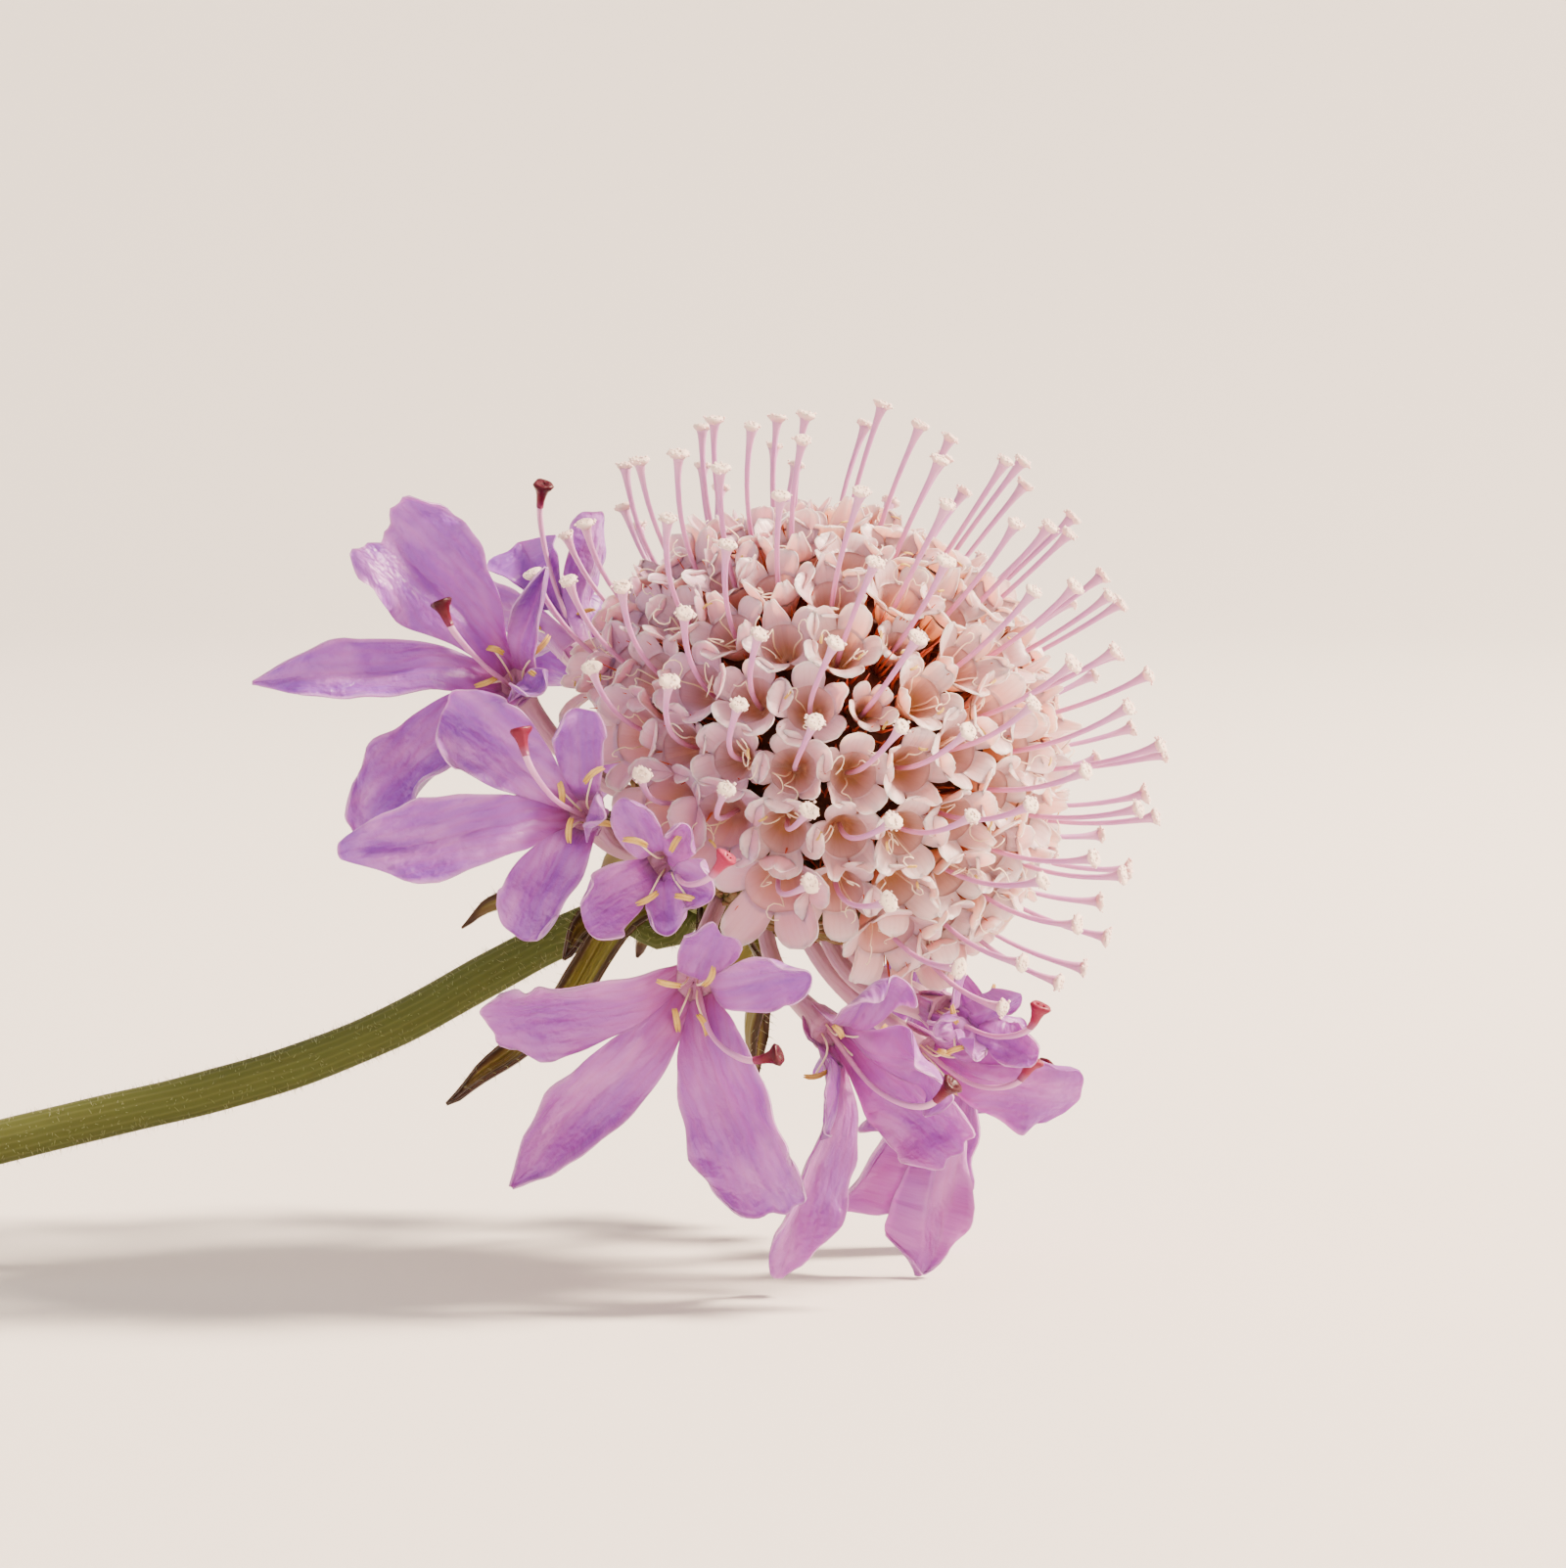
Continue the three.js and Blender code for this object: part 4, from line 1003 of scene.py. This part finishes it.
def ray_ways(floret):
    """Where a ray floret opens, the ways of its lobes and of its style."""
    if "face" in floret:
        lobes = [(direction(lobe[0], lobe[1]), *lobe[2:]) for lobe in floret["lobes"]]
        clock, lean, reach = floret["style"]
        return direction(*floret["face"]), lobes, direction(clock, lean), reach
    turn = math.radians(floret["turn"])
    out = np.array([math.cos(turn), math.sin(turn), 0])
    face = unit(out + UP * 0.35)
    back = -square_to(UP, face)

    def fan(around, raised):
        raised = math.radians(raised)
        return HEAD @ (turned(back, face, around) * math.cos(raised) + face * math.sin(raised))

    lobes = [(fan(lobe[0], lobe[1]), *lobe[2:]) for lobe in RAY_FAN]
    return HEAD @ face, lobes, fan(150, 50), 7


def above_table(points):
    """Petal tips that reach the table lie on it instead."""
    points = points.copy()
    z = points[..., 2]
    points[..., 2] = 0.1 + 0.5 * (z - 0.1 + np.sqrt((z - 0.1) ** 2 + 0.05))
    return points


def ray_floret(number, floret, kept):
    petals = Growth()
    face, lobes, style_way, style_reach = ray_ways(floret)
    turn = math.radians(floret["turn"])
    out = np.array([math.cos(turn), math.sin(turn), 0])
    throat = placed(out * floret["out"] + UP * floret["up"])
    root_out, root_up = INNER_ROOT if floret.get("inner") else OUTER_ROOT
    root = placed(out * root_out + UP * root_up)
    knee = placed(out * (root_out + 3.4) + UP * (root_up - 1.2))
    share = np.linspace(-TUBE_SUNK, 1, 18)[:, None]
    near = throat - face * 3
    mouth = throat - face * 0.6
    line = ((1 - share) ** 3 * root + 3 * share * (1 - share) ** 2 * knee
            + 3 * share ** 2 * (1 - share) * near + share ** 3 * mouth)
    tangent = unit(np.gradient(line, axis=0))
    radius = np.interp(share[:, 0], [0, 0.4, 0.75, 0.92, 1], [0.36, 0.42, 0.54, 0.76, 0.95])
    # The tube's floor closes it a little way down.
    line = np.vstack([line, mouth - face * [[0.1], [0.25], [0.3]]])
    tangent = np.vstack([tangent, [face] * 3])
    radius = np.concatenate([radius, [0.8, 0.45, 0.04]])
    share = np.concatenate([share[:, 0], [1.2, 1.4, 1.6]])[:, None]
    side = square_to(np.array([0.31, 0.93, 0.2]), tangent[0])
    angle = np.linspace(0, 2 * math.pi, 20, endpoint=False)
    rings = []
    for point, way, r in zip(line, tangent, radius):
        side = square_to(side, way)
        other = np.cross(way, side)
        wobble = r * (1 + 0.05 * np.cos(5 * angle))
        rings.append(point + wobble[:, None] * spoke(side, other, angle))
    sheet = np.array(rings)[:, ::-1]
    around = np.broadcast_to(angle * 0.8, sheet.shape[:2])
    petals.add_sheet(sheet, 0.14, around, 8 * share + 0 * around, 0.08 * share + 0 * around,
                     0.3, wrap=True)
    # Each lobe's tint carries its floret's rosy: pink on the key lamp's side and violet on the far
    # side, partly painted shade.
    for k, lobe in sorted(corolla_lobes(throat, face, lobes, number).items()):
        petals.add_sheet(above_table(lobe["points"]), 0.2, *lobe["marks"],
                         0.8 * floret["rosy"] + 0.2 * draw(10 * number + k, 54), edge=0.45,
                         rim=lobe["rim"])
    name = f"ray_floret_{number:02d}"
    petals.piece("corolla_" + name[4:], kept["finishes"]["ray"], "petal_lilac", name)
    ray_style(kept, throat, face, style_way, style_reach, number, floret["red"])
    ray_anthers(kept, throat, face, number)


def ray_style(kept, throat, face, way, reach, number, red):
    """A thin style that bends up to the light, and the wet crimson trumpet on its end."""
    bend = (way * way[2] - UP) * 0.17 * reach
    stops = [throat - face * 1.6, throat + way * 0.36 * reach + face * 0.12 * reach + bend,
             throat + way * 0.75 * reach + face * 0.12 * reach + bend * 0.8,
             throat + way * reach]
    line = through(stops, 48)
    end = unit(line[-1] - line[-4])
    run = run_of(line)
    shaft = line[run < run[-1] - 0.95]
    radius = np.interp(np.linspace(0, 1, len(shaft)), [0, 0.6, 1], [0.14, 0.125, 0.175])
    kept["styles"].add_limb(shaft, radius, 8, draw(number, 55))
    tip = line[-1]
    side = square_to(np.array([0.2, 0.5, 0.84]), end)
    other = np.cross(end, side)
    angle = np.linspace(0, 2 * math.pi, 16, endpoint=False)
    wave = 1 + 0.1 * np.cos(3 * angle + number) + 0.05 * np.cos(5 * angle + 2 * number)
    trumpet = [(-1.25, 0.165, 0.0), (-0.9, 0.19, 0.15), (-0.55, 0.24, 0.35), (-0.28, 0.33, 0.5),
               (-0.08, 0.46, 0.65), (0.05, 0.53, 0.8), (0.13, 0.48, 0.9), (0.1, 0.33, 1.0),
               (0.0, 0.16, 1.0), (-0.04, 0.03, 1.0)]
    rings = []
    for k, (h, r, share) in enumerate(trumpet):
        flare = wave if r > 0.4 else 1.0
        centre = tip + end * h
        if h < -0.5:
            centre = np.array([np.interp(-h, run_of(line[::-1]), line[::-1, j])
                               for j in range(3)])
        rings.append(centre + r * (flare * np.ones(16))[:, None] * spoke(side, other, angle))
    sheet = np.array(rings)[:, ::-1]
    share = np.broadcast_to(np.array([t[2] for t in trumpet])[:, None], sheet.shape[:2])
    kept["stigmas"].add_sheet(sheet, 0.06, np.broadcast_to(angle * 0.4, share.shape), share * 1.4,
                              share, red, wrap=True, edge=1)
    for k in range(12):
        seed = 500 + 12 * number + k
        turn = 2 * math.pi * draw(seed, 65)
        ring = spoke(side, other, turn) * (0.2 + 0.3 * draw(seed, 66))
        kept["stigmas"].add(tip + ring + end * 0.1 + BEAD_POINTS * 0.06, BEAD_FACES, 0, 0, 1.0,
                            red)


def ray_anthers(kept, throat, face, number):
    side = square_to(np.array([0.3, 0.1, 0.9]), face)
    other = np.cross(face, side)
    for k in range(4):
        seed = 70 + 4 * number + k
        turn = 2 * math.pi * (k + 0.5 + 0.5 * draw(seed, 60)) / 4
        way = spoke(side, other, turn)
        tall = 0.9 + 0.8 * draw(seed, 61)
        wide = 1.1 + 0.9 * draw(seed, 62)
        line = through([throat - face * 1.4 + way * 0.3, throat + face * 0.3 * tall + way * 0.6,
                        throat + face * tall + way * wide], 9)
        kept["threads"].add_limb(line, 0.055, 5, draw(seed, 63))
        lay = square_to(way + 0.8 * swing(seed, 64) * np.cross(face, way), face)
        add_anther(kept["anthers"], line[-1] + face * 0.1, lay + 0.3 * face * swing(seed, 67),
                   face, 1.25, seed)


# Bracts, neck and stalk -------------------------------------------------------------------


def bract_sheet(clock, lean, reach, seed):
    """A boat-shaped bract with a keel, whose point hooks down."""
    way = unit(direction(clock, lean) @ HEAD)
    out = square_to(way, UP)
    root = out * 1.9 + UP * (NECK_TOP - 0.75)
    side = np.cross(way, out)
    bend = side * swing(seed, 77) * 0.07 * reach
    line = through([root - out * 0.6, root, root + out * 0.26 * reach - UP * 0.11 * reach,
                    root + way * 0.55 * (reach - 1.9) + out * 0.04 * reach + bend,
                    root + way * 0.85 * (reach - 1.9) + bend * 0.7,
                    root + way * (reach - 1.9)], 30)
    run = run_of(line)
    v = (run / run[-1])[:, None]
    u = np.linspace(-1, 1, 13)[None]
    tangent = unit(np.gradient(line, axis=0))
    normal = square_to(np.broadcast_to(unit(out + UP), line.shape), tangent)
    across = np.cross(tangent, normal)
    half = np.interp(v, [0, 0.12, 0.3, 0.5, 0.72, 0.9, 1], [0.6, 0.8, 1.02, 1.2, 1.12, 0.62, 0.05])
    boat = smooth(0.15, 0.5, v)
    x = half * u * (1 - 0.3 * boat * np.abs(u))
    lift = (0.25 + 0.5 * boat) * half * np.abs(u) ** 1.6
    lift = lift - 0.16 * np.exp(-(u / 0.16) ** 2) * (1 - v)
    lift = lift + 0.16 * crumple(x, np.broadcast_to(run[:, None], x.shape), 400 + seed, 2.0, 5.0)
    lift = lift + 0.45 * swing(seed, 70) * v * v
    points = line[:, None] + across[:, None] * x[..., None] + normal[:, None] * lift[..., None]
    points = points - (HEAD[2] * BRACT_HOOK * smooth(0.78, 1.0, v) ** 2)[:, None]
    along = np.broadcast_to(run[:, None], x.shape)
    rim = np.maximum(np.abs(u) + 0 * v, smooth(0.8, 1.0, v) + 0 * u)
    return placed(points), x, along, np.broadcast_to(v, along.shape), rim


HAIR_FACES = [[0, 2, 1], [0, 1, 3], [1, 2, 3], [2, 0, 3]]


def add_hair(growth, root, way, length, radius, seed):
    """A short downy hair that tapers to its tip."""
    side = square_to(np.array([0.7, 0.2, 0.6]), way)
    other = np.cross(way, side)
    ring = root + radius * spoke(side, other, (0, 2.094, 4.189))
    growth.add(np.vstack([ring, root + way * length]), HAIR_FACES, 0, 0, [0, 0, 0, 1],
               draw(seed, 71))


def involucre(finishes, down):
    growth = Growth()
    profile = [(0.05, NECK_BOTTOM), (1.3, NECK_BOTTOM), (1.6, NECK_BOTTOM + 0.35),
               (2.1, NECK_TOP - 1.1), (2.9, NECK_TOP - 0.6), (4.0, NECK_TOP - 0.25),
               (4.2, NECK_TOP), (0.05, NECK_TOP)]
    turns, sheet = lathed(profile, 36, 0.03)
    up = np.broadcast_to(np.linspace(0, 0.4, len(profile))[:, None], sheet.shape[:2])
    growth.add_sheet(sheet, 0.12, np.broadcast_to(turns * 3, up.shape), up * 9, up, 0.4,
                     wrap=True, edge=1)
    for number, (clock, lean, reach) in enumerate(BRACTS):
        points, across, along, v, rim = bract_sheet(clock, lean, reach, number)
        growth.add_sheet(points, 0.3, across, along, 0.1 + 0.9 * v, draw(number, 72), edge=0.5,
                         rim=rim)
        normal = unit(np.cross(np.gradient(points, axis=0), np.gradient(points, axis=1)))
        for k in range(BRACT_HAIRS):
            seed = number * BRACT_HAIRS + k
            row = int(draw(seed, 73) * (points.shape[0] - 2))
            col = int(draw(seed, 74) * points.shape[1])
            if k % 2:
                col = 0 if k % 4 == 1 else points.shape[1] - 1
            face = normal[row, col] * (1 if draw(seed, 75) < 0.5 else -1)
            outward = points[row, col] - points[row, points.shape[1] // 2]
            way = unit(face * 0.7 + unit(outward) * (0.9 if k % 2 else 0.2) + 0.4 * unit(
                points[row + 1, col] - points[row, col]))
            add_hair(down, points[row, col], way, 0.35 + 0.3 * draw(seed, 76), 0.018, seed)
    growth.piece("bracts", finishes["bract"], "bract_olive", "involucre")


def stalk(finishes, down):
    way = HEAD @ UP
    top = HEAD_CENTRE + way * (NECK_BOTTOM - SEAT_GAP)
    stops = [top, top - way * 2] + [np.array(p) + SHIFT for p in STEM_LINE]
    line = through(stops, STALK_RINGS)
    share = np.linspace(0, 1, STALK_RINGS)
    radius = STEM_RADIUS * (1.0 - 0.04 * np.exp(-((share - 0.05) / 0.05) ** 2)
                            + 0.012 * np.sin(share * 47) + 0.008 * np.sin(share * 101))
    growth = Growth()
    growth.add_limb(line, radius, 40, 0.4, lambda a: 1 - 0.01 + 0.01 * np.cos(9 * a))
    growth.piece("stalk", finishes["stem"], "stem_green", "stem")
    tangent = unit(np.gradient(line, axis=0))
    for k in range(STALK_HAIRS):
        at = draw(k, 80) * (STALK_RINGS - 2)
        i = int(at)
        middle = line[i] + (line[i + 1] - line[i]) * (at - i)
        side = square_to(UP, tangent[i])
        other = np.cross(tangent[i], side)
        turn = 2 * math.pi * draw(k, 81)
        out = spoke(side, other, turn)
        root = middle + out * (STEM_RADIUS - 0.05)
        around = np.cross(out, tangent[i])
        lean = unit(out + tangent[i] * 0.5 * swing(k, 82) + around * 0.5 * swing(k, 83))
        length = 0.22 + 0.3 * draw(k, 84)
        if (root + lean * length)[2] > 0.03:
            add_hair(down, root, lean, length, 0.016, k)


# The whole flower -------------------------------------------------------------------------


def build_flower():
    finishes = make_finishes()
    disc_head(finishes)
    kept = dict(finishes=finishes, styles=Growth(), stigmas=Growth(), threads=Growth(),
                anthers=Growth())
    for number, floret in enumerate(RAY_FLORETS, 1):
        ray_floret(number, floret, kept)
    rays = [f"ray_floret_{number:02d}" for number in range(1, len(RAY_FLORETS) + 1)]
    kept["styles"].piece("ray_styles", finishes["style"], "style_lilac", *rays)
    kept["stigmas"].piece("ray_stigmas", finishes["crimson"], "stigma_crimson", *rays)
    kept["threads"].piece("ray_filaments", finishes["thread"], "stigma_cream", *rays)
    kept["anthers"].piece("ray_anthers", finishes["anther"], "anther_ochre", *rays)
    down = Growth()
    involucre(finishes, down)
    stalk(finishes, down)
    down.piece("down", finishes["down"], "stem_green", "stem", "involucre")


# Table, light and camera ------------------------------------------------------------------


def table():
    """A pale seamless sweep: a round flat table whose far rim turns up into the backdrop."""
    turns = np.linspace(0, 2 * math.pi, TABLE_SIDES, endpoint=False)
    flat, bend = 0.75, 0.6
    curve = [(r, 0.0) for r in (0.001, 0.2, 0.45, flat)]
    curve += [(flat + bend * math.sin(a), bend * (1 - math.cos(a)))
              for a in np.linspace(0.1, math.pi / 2, 14)]
    curve += [(flat + bend, bend + 0.5)]
    points = [(r * math.cos(t), r * math.sin(t), h) for r, h in curve for t in turns]
    faces = []
    for row in range(len(curve) - 1):
        here = TABLE_SIDES * row
        for k in range(TABLE_SIDES):
            n = (k + 1) % TABLE_SIDES
            faces.append((here + k, here + n, here + TABLE_SIDES + n, here + TABLE_SIDES + k))
    faces.append(tuple(reversed(range(TABLE_SIDES))))
    mesh = bpy.data.meshes.new("table")
    mesh.from_pydata(points, [], faces)
    mesh.polygons.foreach_set("use_smooth", np.ones(len(mesh.polygons), bool))
    finish, tree = new_finish("pale_table")
    place = node(tree, "TexCoord", out="Object")
    # This place is in metres, so its patterns are so many to the metre.
    grain = mottled(tree, place, 220.0, 3.0)
    cloud = mottled(tree, place, 3.0, 2.0)
    base = tinted(tree, "#E4E1DE", cloud, 0.25, "#DAD7D4")
    shade(tree, base, 0.75, grain, 0.05, 0.0, gloss=0.25)
    mesh.materials.append(finish)
    made = bpy.data.objects.new("table", mesh)
    bpy.context.collection.objects.link(made)


def lamp(name, place, aim, size, watts, colour):
    light = bpy.data.lights.new(name, "AREA")
    light.shape = "DISK"
    light.size = size
    light.energy = watts
    light.color = linear(colour)[:3]
    made = bpy.data.objects.new(name, light)
    made.location = place
    made.rotation_euler = (Vector(aim) - Vector(place)).to_track_quat("-Z", "Y").to_euler()
    made.visible_camera = False
    bpy.context.collection.objects.link(made)


def light_and_camera():
    aim = Vector(tuple((np.array([0, 0, AIM_HEIGHT]) + SHIFT) * MM))
    lamp("warm_key", (0.88, 0.10, 0.84), aim, 0.25, 81.0, "#FFE3C6")
    lamp("cool_side", (-0.96, -0.66, 0.46), aim, 1.1, 3.6, "#D6DAFC")
    lamp("top_soft", (0.0, 0.1, 0.62), aim, 0.7, 0.9, "#FFFFFF")
    for k, (x, y) in enumerate(((0, 1), (1, 0), (0, -1), (-1, 0))):
        lamp(f"wall_wash_{k}", (0.5 * x, 0.5 * y, 0.75), (1.2 * x, 1.2 * y, 0.35), 0.5, 2.4,
             "#FFFFFF")
    world = bpy.data.worlds.new("room")
    world.use_nodes = True
    world.node_tree.nodes["Background"].inputs["Color"].default_value = linear("#E6E8F4")
    world.node_tree.nodes["Background"].inputs["Strength"].default_value = 0.13
    bpy.context.scene.world = world
    lens = bpy.data.cameras.new("camera")
    lens.lens = 135
    lens.sensor_width = 36
    lens.clip_start = 0.01
    lens.clip_end = 10
    camera = bpy.data.objects.new("camera", lens)
    camera.location = aim + VIEW_DISTANCE * Vector(
        (0, -math.cos(VIEW_RISE), math.sin(VIEW_RISE)))
    camera.rotation_euler = (aim - camera.location).to_track_quat("-Z", "Y").to_euler()
    bpy.context.collection.objects.link(camera)
    bpy.context.scene.camera = camera


build_flower()
table()
light_and_camera()
